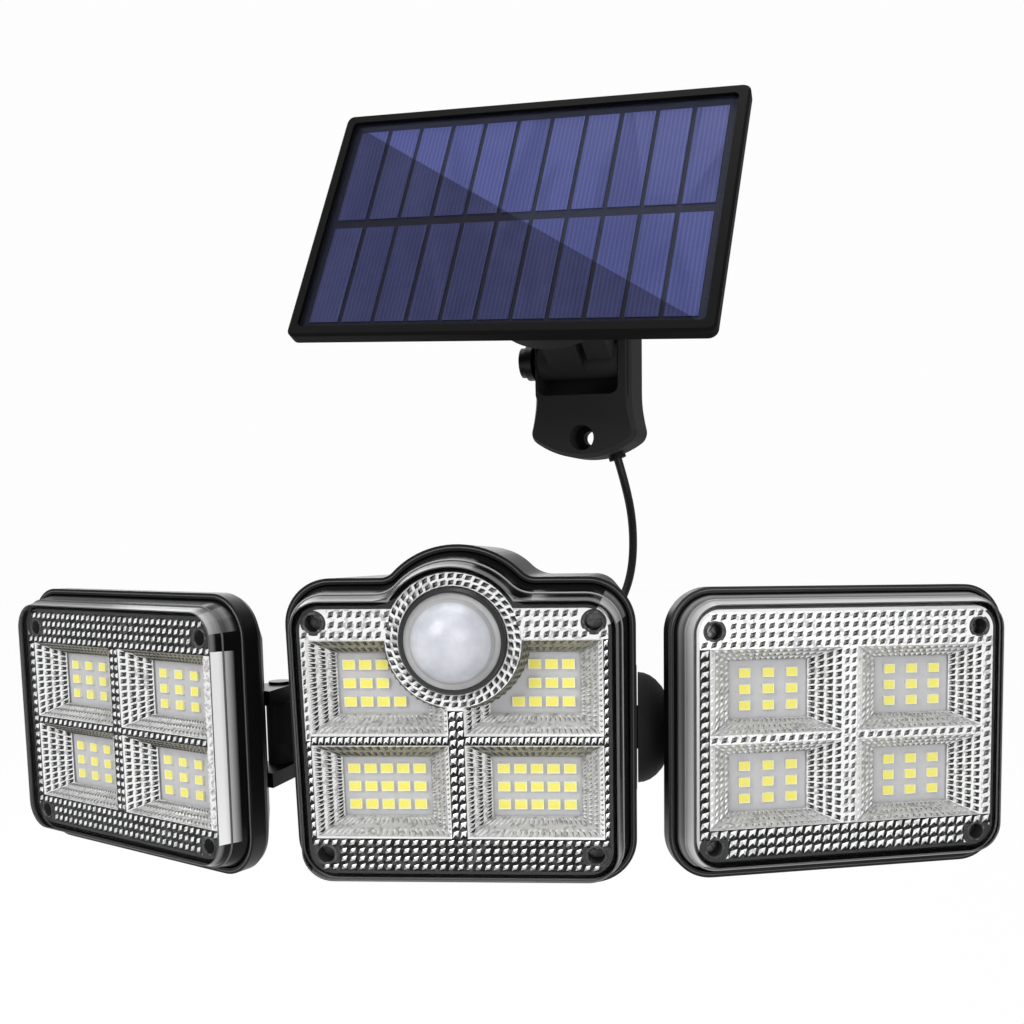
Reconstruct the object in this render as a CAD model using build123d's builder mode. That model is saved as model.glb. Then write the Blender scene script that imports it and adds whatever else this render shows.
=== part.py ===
"""Motion sensor security light with two jointed side heads and its own solar panel.

Millimetres. +Y runs to the wall and +Z is up. The origin is the middle of the
lamp bracket's wall face. Depths run back from the front of the middle reflector.
"""

import os
from math import asin, degrees, pi, radians, sqrt, tan

from build123d import *

os.makedirs("parts", exist_ok=True)

# ------------------------------------------------------------ clearances
RUN = 0.05            # radial running fit
GAP = 0.3             # between faces of different bodies
FIT = 0.3             # between a piece and the rim it drops into

# ------------------------------------------------------------ middle head
WALL_GAP = 98.0       # front of the middle reflector to the wall
MID_HALF = 49.5       # half width at the rim
MID_TOP = 44.2
MID_BOTTOM = -45.2
MID_CORNER = 13.5
ARCH_R = 25.4         # arch over the sensor
ARCH_Z = 28.0
ARCH_FILLET = 5.0
MID_RIM = 10.0        # depth of the rim
MID_BACK = 72.0       # depth of the rear face
DRAFT = 5.0           # degrees, side walls
BACK_CHAMFER = 1.5
WALL = 2.4

# ------------------------------------------------------------ side heads
SIDE_HALF = 54.5
SIDE_TOP = 44.6
SIDE_BOTTOM = -42.4
SIDE_CORNER = 13.5
SIDE_RIM = 6.5
SIDE_LIP = 11.5       # depth where the dished back starts
SIDE_BACK = 27.0
SIDE_SLOPE = 15.0     # how far the dish draws in
SIDE_ROUND = 1.6      # easing at both ends of the dish
SIDE_YAW = {1: 14.9, -1: 28.3}
SIDE_PITCH = {1: -5.9, -1: -3.8}

# ------------------------------------------------------------ optics
LIP = 1.7             # rim wall round the cover
FRAME_IN = 6.5        # reflector front edge inside the rim
SKIRT_IN = 4.4        # reflector foot inside the rim
SKIRT_WALL = 1.2
SHEET = 1.4           # reflector front thickness
COVER_FRONT = -2.0
COVER_WALL = 1.5
COVER_IN = 5.0        # cover front edge inside the rim
FUNNEL_BACK = 6.4
BOARD_FRONT = 7.0
BOARD_THICK = 1.6
BAR_X = 2.2           # half width of the upright bar
BAR_Z = 1.3           # half width of the level bar
MID_EDGE = 2.3        # window to the frame's front edge
SIDE_EDGE = 4.0
MID_OPEN = (MID_HALF - FRAME_IN - MID_EDGE - BAR_X, 27.0)
MID_FLOOR = (25.5, 17.5)
MID_GROUP = (21.4, 15.0)
SIDE_OPEN = (SIDE_HALF - FRAME_IN - SIDE_EDGE - BAR_X, 25.2)
SIDE_FLOOR = (25.0, 17.5)
SIDE_GROUP = (23.5, 14.0)
MID_PITCH = (4.7, 5.3)
SIDE_PITCH_LED = (7.5, 4.9)
CHIP = (3.5, 2.8)
CHIP_TALL = 0.9
SCREW_HOLE = 3.1
SCREW_TUBE = 4.2
SCREW_HEAD = 2.6
SCREW_R = 1.45
MID_SCREW_EDGE = 11.3
SIDE_SCREW_EDGE = 12.0
MID_SCREW = (MID_HALF - MID_SCREW_EDGE, 33.0)
SIDE_SCREW = (SIDE_HALF - SIDE_SCREW_EDGE, 31.75)

# ------------------------------------------------------------ sensor
COLLAR_FRONT = 19.0
COLLAR_BACK = 20.5
LENS_FLANGE = 13.3
BEZEL_WALL = 1.4
BEZEL_R = LENS_FLANGE + BEZEL_WALL
LENS_R = 11.7
LENS_RISE = 8.4
LENS_WALL = 0.8
LENS_FOOT = -0.4
BEZEL_FRONT = -2.4

# ------------------------------------------------------------ arms
HUB_DEPTH = 50.0
HUB_Z = -9.0
COLLAR_R = 20.0
SPIGOT_R = 7.0
DOME_R = 17.8
DOME_LONG = 11.5      # how far the whole dome would stand out
DOME_CUT = 9.7        # where the neck cuts it off
HINGE_OUT = 18.8      # hinge, out from the rim's side
HINGE_X = MID_HALF + HINGE_OUT
BOSS_IN = 6.9         # inner face of a hub boss, in from the rim's side
HUB_INNER = MID_HALF - BOSS_IN
HUB_RECESS = 2.6      # seat of the hub screw, in from that face
HINGE_DEPTH = 52.5
HINGE_EDGE = 17.2     # hinge to the side head's near edge
HEAD_SIDE = SIDE_HALF - HINGE_EDGE
HEAD_FORE = 34.5      # hinge to the front of a side head
HEAD_RISE = 0.8
BARREL_R = 4.7
BARREL_TOP = 9.0
BARREL_LOW = -12.0
LUG_THICK = 4.7
PIN_R = 2.0
NECK_LOW = -5.0

# ------------------------------------------------------------ lamp bracket
TILT_DEPTH = 84.0
TILT_R = 7.5
TILT_HALF = 6.7
TILT_LUG = 4.6
TILT_BOLT_R = 2.5
PLATE_W = 46.0
PLATE_H = 64.0
PLATE_THICK = 4.0
PLATE_HOLE_Z = 24.0
PLATE_HOLE_R = 2.4

# ------------------------------------------------------------ battery and door
CELL_R = 9.2
CELL_LONG = 65.0
CELL_Z = -23.5
CELL_DEPTHS = (39.3, 58.5)
CRADLE_WALL = 1.4
DOOR_W = 80.0
DOOR_H = 27.0
DOOR_THICK = 1.8

# ------------------------------------------------------------ solar panel
UNIT_X = 34.9
UNIT_DEPTH = 93.5
UNIT_Z = 111.5
UNIT_YAW = -13.1
PANEL_TILT = -28.1
PANEL_SPIN = 2.6
PIVOT_Y = -10.8       # tilt axis, from the plate's wall face
PIVOT_Z = -2.0
PANEL_W = 126.0
PANEL_H = 80.0
PANEL_THICK = 4.4     # of the frame
PANEL_CORNER = 2.6
PAN_BACK = 7.4        # depth of the pan behind the frame
PAN_IN = 7.0
PANEL_BAR = 3.1       # width of the frame seen from the front
PANEL_REACH = 63.1    # tilt axis to the panel's front face
PANEL_RISE = 6.8
PANEL_ASIDE = -5.5    # panel middle beside the turning axis
CELL_EDGE = 5.6
CELL_FIELD = (PANEL_W - 2 * CELL_EDGE, PANEL_H - 2 * CELL_EDGE)
CELL_COLUMNS = 11
CELL_SPACE = 1.3
CELL_MIDDLE = 3.0
TURN_R = 24.5
BOSS_R = 25.5
BOSS_BACK = 40.0
TURN_BACK = 32.5
DISH_THICK = 16.0
DISH_HALF = 35.0      # half height of the panel bracket's wall plate
DISH_FOOT = 19.6      # half width at the flared foot
DISH_WAIST = 17.3
DISH_HOLE_IN = 7.4    # screw hole to the plate's end
FOOT_ARC = 30.0
FOOT_ROUND = 4.5
POCKET_LEFT = 15.3
POCKET_RIGHT = 12.8
POCKET_LOW = -13.5
POCKET_HIGH = 15.5
KNUCKLE_R = 6.0
BAR_SIDES = (-10.4, 1.2)      # of the bar between knuckle and turning disc
TONGUE_SIDES = (3.4, 11.4)
TONGUE_LOW = -4.5
PANEL_BOLT_R = 2.5

# ------------------------------------------------------------ cable
CABLE_D = 2.9
GLAND_EDGE = 13.5     # gland, in from the rim's side
GLAND_X = MID_HALF - GLAND_EDGE
GLAND_Z = 13.0
GROMMET_X = 9.5       # in the panel bracket, beside its middle
GROMMET_Y = -5.5

# ------------------------------------------------------------ frames
LAMP = Location((0, -WALL_GAP, 0))
HUB = Location((0, HUB_DEPTH - WALL_GAP, HUB_Z))
TILT = Location((0, TILT_DEPTH - WALL_GAP, 0))
UNIT = Location((UNIT_X, UNIT_DEPTH - WALL_GAP, UNIT_Z), (0, 0, UNIT_YAW))
PIVOT = UNIT * Location((0, PIVOT_Y, PIVOT_Z), (PANEL_TILT, 0, 0))
PANEL = PIVOT * Location((0, -PANEL_REACH, PANEL_RISE), (0, PANEL_SPIN, 0))
ARM = {s: HUB * Location((0, 0, 0), (SIDE_PITCH[s], 0, 0)) for s in (1, -1)}
PIN = {
    s: ARM[s] * Location((s * HINGE_X, HINGE_DEPTH - HUB_DEPTH, 0), (0, 0, s * SIDE_YAW[s]))
    for s in (1, -1)
}
HEAD = {s: PIN[s] * Location((s * HEAD_SIDE, -HEAD_FORE, HEAD_RISE)) for s in (1, -1)}
SIDES = {1: "right", -1: "left"}


def carried(where, plane):
    """The plane carried along by a frame."""
    return Plane(where * plane.location)


def facing(where, depth):
    """Plane at a depth, looking out of the front."""
    return carried(where, Plane(origin=(0, depth, 0), x_dir=(1, 0, 0), z_dir=(0, -1, 0)))


def level(where, height):
    """Plane at a height, looking up."""
    return carried(where, Plane(origin=(0, 0, height), x_dir=(1, 0, 0), z_dir=(0, 0, 1)))


def across(where, x, side=1):
    """Plane at x, looking sideways."""
    return carried(where, Plane(origin=(x, 0, 0), x_dir=(0, side, 0), z_dir=(side, 0, 0)))


def rounded(half, top, bottom, corner, inset=0.0):
    """Rounded rectangle drawn in by an inset."""
    with BuildSketch(Plane.XY, mode=Mode.PRIVATE) as shape:
        with Locations((0, (top + bottom) / 2)):
            width = 2 * (half - inset)
            RectangleRounded(width, top - bottom - 2 * inset, max(corner - inset, 1.5))
    return shape.sketch


def arched(inset):
    """Outline of the middle head, drawn in by an inset."""
    top = MID_TOP - inset
    radius = ARCH_R - inset
    meet = sqrt(radius**2 - (top - ARCH_Z) ** 2)
    with BuildSketch(Plane.XY, mode=Mode.PRIVATE) as shape:
        add(rounded(MID_HALF, MID_TOP, MID_BOTTOM, MID_CORNER, inset))
        with Locations((0, ARCH_Z)):
            Circle(radius)
        inner = [v for v in shape.vertices() if abs(v.Y - top) < 0.1 and abs(abs(v.X) - meet) < 0.1]
        fillet(inner, ARCH_FILLET + inset)
    return shape.sketch


def oblong(inset):
    """Outline of a side head, drawn in by an inset."""
    return rounded(SIDE_HALF, SIDE_TOP, SIDE_BOTTOM, SIDE_CORNER, inset)


def drawn(plane, shape):
    """A flat shape laid on a plane."""
    with BuildSketch(plane, mode=Mode.PRIVATE) as laid:
        add(shape)
    return laid.sketch


def discs(plane, radius, spots=((0, 0),)):
    """Circles laid on a plane."""
    with BuildSketch(plane, mode=Mode.PRIVATE) as laid:
        with Locations(*spots):
            Circle(radius)
    return laid.sketch


def stack(where, outline, sections, mode=Mode.ADD):
    """Body through (depth, inset) sections of an outline."""
    loft([drawn(facing(where, d), outline(i)) for d, i in sections], ruled=True, mode=mode)


def slab(where, shape, front, back, mode=Mode.ADD):
    """Flat shape given thickness between two depths."""
    extrude(drawn(facing(where, back), shape), amount=back - front, mode=mode)


def drums(plane, radius, length, spots=((0, 0),), mode=Mode.ADD):
    """Round bars from a plane outwards."""
    extrude(discs(plane, radius, spots), amount=length, mode=mode)


def corners(spot):
    """The four mirrored spots of one."""
    x, z = spot
    return [(x, z), (-x, z), (x, -z), (-x, -z)]


def funnels(where, opened, floor, group, grow, mode):
    """The four tapered window walls, from the front back to the board."""
    for x_side in (1, -1):
        for z_side in (1, -1):
            mid_x = x_side * (BAR_X + opened[0] / 2)
            mid_z = z_side * (BAR_Z + opened[1] / 2)
            with BuildSketch(facing(where, 0), mode=Mode.PRIVATE) as mouth:
                with Locations((mid_x, mid_z)):
                    Rectangle(opened[0] + 2 * grow, opened[1] + 2 * grow)
            with BuildSketch(facing(where, FUNNEL_BACK), mode=Mode.PRIVATE) as foot:
                with Locations((x_side * group[0], z_side * group[1])):
                    Rectangle(floor[0] + 2 * grow, floor[1] + 2 * grow)
            loft([mouth.sketch, foot.sketch], ruled=True, mode=mode)


def reflector_body(where, outline, ledge, windows, screws):
    """Thin front, skirt, tapered windows and screw tubes of a reflector."""
    stack(where, outline, [(0, FRAME_IN), (ledge, SKIRT_IN)])
    inner = FRAME_IN + SKIRT_WALL
    stack(where, outline, [(SHEET, inner), (ledge, SKIRT_IN + SKIRT_WALL)], Mode.SUBTRACT)
    funnels(where, *windows, SKIRT_WALL, Mode.ADD)
    drums(facing(where, FUNNEL_BACK), SCREW_TUBE, FUNNEL_BACK - SHEET / 2, screws)
    funnels(where, *windows, 0, Mode.SUBTRACT)
    drums(facing(where, FUNNEL_BACK), SCREW_HOLE, FUNNEL_BACK, screws, Mode.SUBTRACT)


def cover_body(where, outline, foot):
    """Clear cover with an upright foot and a sloped rim."""
    lip = LIP + FIT
    stack(where, outline, [(foot, lip), (foot - 2.0, lip), (COVER_FRONT, COVER_IN)])
    inside = COVER_FRONT + COVER_WALL
    stack(where, outline, [(foot, lip + 1.8), (inside, COVER_IN + 1.1)], Mode.SUBTRACT)


def seal_body(where, outline, foot, ledge):
    """Flat rubber ring under the cover's foot."""
    slab(where, outline(LIP + FIT), foot, ledge)
    slab(where, outline(LIP + FIT + 1.7), foot, ledge, Mode.SUBTRACT)


def chip_grid(where, group, pitch, columns, rows, keep):
    """LED chips of the four groups, leaving out those under the sensor collar."""
    spots = [
        (x_side * (group[0] + (i - (columns - 1) / 2) * pitch[0]),
         z_side * group[1] + (j - (rows - 1) / 2) * pitch[1])
        for x_side in (1, -1)
        for z_side in (1, -1)
        for i in range(columns)
        for j in range(rows)
    ]
    with BuildSketch(facing(where, BOARD_FRONT), mode=Mode.PRIVATE) as chips:
        with Locations(*[spot for spot in spots if keep(spot)]):
            Rectangle(*CHIP)
    extrude(chips.sketch, amount=CHIP_TALL)


def screw_bodies(where, spots, length):
    """Pan head screws standing on the board."""
    drums(facing(where, BOARD_FRONT), SCREW_HEAD, 1.8, spots)
    drums(facing(where, BOARD_FRONT + length), SCREW_R, length, spots)


def clear_of_sensor(spot):
    """True where a chip stays outside the sensor collar."""
    return sqrt(spot[0] ** 2 + (spot[1] - ARCH_Z) ** 2) > COLLAR_BACK + CHIP[0] / 2


def drawn_in(depth):
    """How far the drafted wall has come in at a depth."""
    return (depth - MID_RIM) * tan(radians(DRAFT))


def save(builder, label):
    """Name one piece and write it out."""
    builder.part.label = label
    export_step(builder.part, f"parts/{label}.step")


# ============================================================ middle head
MID_SEAT = MID_RIM + 4.0
MID_SHELF = MID_SEAT + 2.0
MID_FOOT = MID_SEAT - 1.5
INNER_BACK = MID_BACK - WALL
GLAND = (GLAND_X, GLAND_Z)
MID_SCREWS = corners(MID_SCREW)
BUTTON_DEPTH = 24.5

with BuildPart() as lamp_housing:
    end = drawn_in(MID_BACK)
    near_back = MID_BACK - BACK_CHAMFER
    stack(LAMP, arched, [(MID_RIM, 0), (near_back, drawn_in(near_back)), (MID_BACK, end + 1.6)])
    cavity = [(MID_SHELF, drawn_in(MID_SHELF) + WALL), (INNER_BACK, drawn_in(INNER_BACK) + WALL)]
    stack(LAMP, arched, cavity, Mode.SUBTRACT)
    slab(LAMP, arched(LIP), MID_RIM, MID_SEAT, Mode.SUBTRACT)
    slab(LAMP, arched(FRAME_IN + 1.0), MID_SEAT, MID_SHELF, Mode.SUBTRACT)
    # bosses that carry the arms
    for side in SIDES:
        drums(across(HUB, side * HUB_INNER, side), COLLAR_R, BOSS_IN)
        drums(across(HUB, side * (HUB_INNER - HUB_RECESS), side), SPIGOT_R + RUN, 12, mode=Mode.SUBTRACT)
    # knuckle of the tilt joint
    with BuildSketch(across(TILT, -TILT_HALF)):
        Circle(TILT_R)
        with Locations((-TILT_R, 0)):
            Rectangle(2 * TILT_R - 2, 2 * TILT_R)
    extrude(amount=2 * TILT_HALF)
    drums(across(TILT, -TILT_HALF), TILT_BOLT_R + RUN, 2 * TILT_HALF, mode=Mode.SUBTRACT)
    # rear door seat and opening
    door_top = CELL_Z + DOOR_H / 2
    seat = rounded(DOOR_W / 2, door_top, door_top - DOOR_H, 3)
    slab(LAMP, seat, MID_BACK - DOOR_THICK, MID_BACK, Mode.SUBTRACT)
    way = rounded(34.2, CELL_Z + 9.6, CELL_Z - 9.6, 2)
    slab(LAMP, way, INNER_BACK, MID_BACK, Mode.SUBTRACT)
    door_spots = [(s * 37, CELL_Z + t * 10.3) for s in SIDES for t in (1, -1)]
    drums(facing(LAMP, MID_BACK), 1.05, 6, door_spots, Mode.SUBTRACT)
    drums(facing(LAMP, MID_BACK), 3.6, WALL, [GLAND], Mode.SUBTRACT)
    # way out for the mode button
    drums(level(LAMP * Location((0, BUTTON_DEPTH, 0)), -50), 4.3, 10, mode=Mode.SUBTRACT)
save(lamp_housing, "lamp_housing")

with BuildPart() as lamp_seal:
    seal_body(LAMP, arched, MID_FOOT, MID_SEAT)
save(lamp_seal, "lamp_seal")

with BuildPart() as lamp_cover:
    cover_body(LAMP, arched, MID_FOOT)
    drums(facing(LAMP, MID_RIM), BEZEL_R + FIT, 20, [(0, ARCH_Z)], Mode.SUBTRACT)
save(lamp_cover, "lamp_cover")

with BuildPart() as lamp_reflector:
    mid_windows = (MID_OPEN, MID_FLOOR, MID_GROUP)
    reflector_body(LAMP, arched, MID_SEAT, mid_windows, MID_SCREWS)
    front_ring = discs(facing(LAMP, 0), COLLAR_FRONT - 0.4, [(0, ARCH_Z)])
    back_ring = discs(facing(LAMP, FUNNEL_BACK), COLLAR_BACK - 0.4, [(0, ARCH_Z)])
    loft([front_ring, back_ring], ruled=True)
    front_hole = discs(facing(LAMP, SHEET), COLLAR_FRONT - 1.7, [(0, ARCH_Z)])
    back_hole = discs(facing(LAMP, FUNNEL_BACK), COLLAR_BACK - 1.7, [(0, ARCH_Z)])
    loft([front_hole, back_hole], ruled=True, mode=Mode.SUBTRACT)
    drums(facing(LAMP, FUNNEL_BACK), BEZEL_R + FIT, 10, [(0, ARCH_Z)], Mode.SUBTRACT)
save(lamp_reflector, "lamp_reflector")

with BuildPart() as lamp_board:
    slab(LAMP, arched(FRAME_IN + SKIRT_WALL + 0.3), BOARD_FRONT, BOARD_FRONT + BOARD_THICK)
    drums(facing(LAMP, 9), SCREW_R + 0.15, 3, MID_SCREWS, Mode.SUBTRACT)
save(lamp_board, "lamp_board")

with BuildPart() as lamp_leds:
    chip_grid(LAMP, MID_GROUP, MID_PITCH, 5, 3, clear_of_sensor)
save(lamp_leds, "lamp_leds")

with BuildPart() as lamp_screws:
    screw_bodies(LAMP, MID_SCREWS, 5.0)
save(lamp_screws, "lamp_screws")

TRAY_FRONT = MID_SEAT - 1.6
CONTROL_FRONT = 20.0
CONTROL_EDGE = 13.5    # edge of the control board, in from the rim's side
CONTROL_HALF = (MID_HALF - CONTROL_EDGE, 27.0, 36.0)  # half width, height over and under the middle
CONTROL_SPOTS = [(s * (CONTROL_HALF[0] - 6), t * (CONTROL_HALF[1] - 5)) for s in SIDES for t in (1, -1)]
with BuildPart() as board_tray:
    slab(LAMP, arched(SKIRT_IN + SKIRT_WALL + 0.4), TRAY_FRONT, MID_SEAT)
    board_back = BOARD_FRONT + BOARD_THICK
    drums(facing(LAMP, TRAY_FRONT), 3.4, TRAY_FRONT - board_back, MID_SCREWS)
    drums(facing(LAMP, CONTROL_FRONT), 3.0, CONTROL_FRONT - MID_SEAT, CONTROL_SPOTS)
    drums(facing(LAMP, TRAY_FRONT), SCREW_R + RUN, 8, MID_SCREWS, Mode.SUBTRACT)
    drums(facing(LAMP, MID_SEAT), 4.0, 3, [(0, -5)], Mode.SUBTRACT)
save(board_tray, "board_tray")

with BuildPart() as lens_bezel:
    spot = [(0, ARCH_Z)]
    drums(facing(LAMP, BOARD_FRONT), BEZEL_R, BOARD_FRONT - BEZEL_FRONT, spot)
    drums(facing(LAMP, LENS_FOOT), LENS_FLANGE + 0.1, 5, spot, Mode.SUBTRACT)
    drums(facing(LAMP, BOARD_FRONT), LENS_R - 1.0, 10, spot, Mode.SUBTRACT)
    chamfer(lens_bezel.faces().sort_by(Axis.Y)[0].outer_wire().edges(), BEZEL_WALL / 2)
save(lens_bezel, "lens_bezel")

with BuildPart() as sensor_lens:
    axis_line = carried(LAMP, Plane(origin=(0, 0, ARCH_Z), x_dir=(0, -1, 0), z_dir=(1, 0, 0)))
    outer_r = (LENS_R**2 + LENS_RISE**2) / (2 * LENS_RISE)
    base = -LENS_FOOT + 1.2
    with BuildSketch(axis_line):
        with BuildLine():
            Line((base - 1.2, LENS_R - 1.2), (base - 1.2, LENS_FLANGE))
            Line((base - 1.2, LENS_FLANGE), (base, LENS_FLANGE))
            Line((base, LENS_FLANGE), (base, LENS_R))
            RadiusArc((base, LENS_R), (base + LENS_RISE, 0), outer_r)
            Line((base + LENS_RISE, 0), (base + LENS_RISE - LENS_WALL, 0))
            RadiusArc((base + LENS_RISE - LENS_WALL, 0), (base - 1.2, LENS_R - 1.2), -outer_r)
        make_face()
    revolve(axis=Axis(axis_line.origin, axis_line.x_dir))
save(sensor_lens, "sensor_lens")

with BuildPart() as motion_sensor:
    drums(facing(LAMP, BOARD_FRONT), 4.6, 0.6, [(0, ARCH_Z)])
    drums(facing(LAMP, BOARD_FRONT), 4.1, 4.2, [(0, ARCH_Z)])
    with BuildSketch(facing(LAMP, BOARD_FRONT - 4.2)):
        with Locations((0, ARCH_Z)):
            Rectangle(4, 3)
    extrude(amount=0.2)
save(motion_sensor, "motion_sensor")

CONTROL_BACK = CONTROL_FRONT + 1.6
with BuildPart() as control_board:
    blank = rounded(CONTROL_HALF[0], CONTROL_HALF[1], -CONTROL_HALF[2], 2)
    slab(LAMP, blank, CONTROL_FRONT, CONTROL_BACK)
    with BuildSketch(facing(LAMP, CONTROL_BACK + 1.8)):
        with Locations((-12, 8), (14, 14)):
            Rectangle(10, 7)
        with Locations((18, -6)):
            Rectangle(6, 12)
    extrude(amount=1.8)
    drums(facing(LAMP, CONTROL_BACK + 5), 4.0, 5, [(-24, -14), (-2, 18)])
save(control_board, "control_board")

with BuildPart() as mode_switch:
    with BuildSketch(facing(LAMP, CONTROL_BACK + 6)):
        with Locations((0, -34.5)):
            Rectangle(7, 6)
    extrude(amount=6)
    stem_plane = level(LAMP * Location((0, BUTTON_DEPTH, 0)), -38.4)
    drums(stem_plane, 1.6, 1.0)
save(mode_switch, "mode_switch")

with BuildPart() as mode_button:
    button_axis = LAMP * Location((0, BUTTON_DEPTH, 0))
    drums(level(button_axis, -46.4), 4.2, 6.7)
    drums(level(button_axis, -40.7), 5.2, 1.0)
    chamfer(mode_button.faces().sort_by(Axis.Z)[0].edges(), 0.8)
save(mode_button, "mode_button")

with BuildPart() as battery_cradle:
    half_x = CELL_LONG / 2 + 0.6 + CRADLE_WALL
    half_z = CELL_R + 0.3 + CRADLE_WALL
    front_depth = CELL_DEPTHS[0] - CELL_R - CRADLE_WALL
    shell = rounded(half_x, CELL_Z + half_z, CELL_Z - half_z, 2)
    slab(LAMP, shell, front_depth, INNER_BACK)
    hollow = rounded(half_x - CRADLE_WALL, CELL_Z + CELL_R + 0.3, CELL_Z - CELL_R - 0.3, 1.5)
    slab(LAMP, hollow, front_depth + CRADLE_WALL, INNER_BACK, Mode.SUBTRACT)
save(battery_cradle, "battery_cradle")

with BuildPart() as battery_cells:
    cell_end = CELL_LONG / 2
    for depth in CELL_DEPTHS:
        cell_line = LAMP * Location((0, depth, CELL_Z))
        drums(across(cell_line, -cell_end), CELL_R, CELL_LONG - 1.2)
        drums(across(cell_line, cell_end - 1.2), 3.0, 1.2)
save(battery_cells, "battery_cells")

with BuildPart() as rear_door:
    half_door = DOOR_W / 2 - 0.2
    lid = rounded(half_door, door_top - 0.2, door_top - DOOR_H + 0.2, 2.8)
    slab(LAMP, lid, MID_BACK - DOOR_THICK, MID_BACK)
    drums(facing(LAMP, MID_BACK), 1.4, 3, door_spots, Mode.SUBTRACT)
    plug = rounded(33.8, CELL_Z + 9.2, CELL_Z - 9.2, 1.6)
    slab(LAMP, plug, INNER_BACK + 0.1, MID_BACK - DOOR_THICK)
save(rear_door, "rear_door")

with BuildPart() as door_screws:
    drums(facing(LAMP, MID_BACK + 1.4), 2.3, 1.4, door_spots)
    drums(facing(LAMP, MID_BACK), 1.0, 5, door_spots)
save(door_screws, "door_screws")

with BuildPart() as cable_gland:
    drums(facing(LAMP, INNER_BACK - 1.6), 3.5, -(MID_BACK - INNER_BACK + 1.6), [GLAND])
    drums(facing(LAMP, INNER_BACK), 5.0, 1.6, [GLAND])
    with BuildSketch(facing(LAMP, MID_BACK + 3)):
        with Locations(GLAND):
            RegularPolygon(4.9, 6)
    extrude(amount=3)
    nose = [
        discs(facing(LAMP, MID_BACK + 3), 3.9, [GLAND]),
        discs(facing(LAMP, MID_BACK + 8), 2.9, [GLAND]),
    ]
    loft(nose, ruled=True)
    drums(facing(LAMP, MID_BACK + 9), CABLE_D / 2, 20, [GLAND], Mode.SUBTRACT)
save(cable_gland, "cable_gland")

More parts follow.
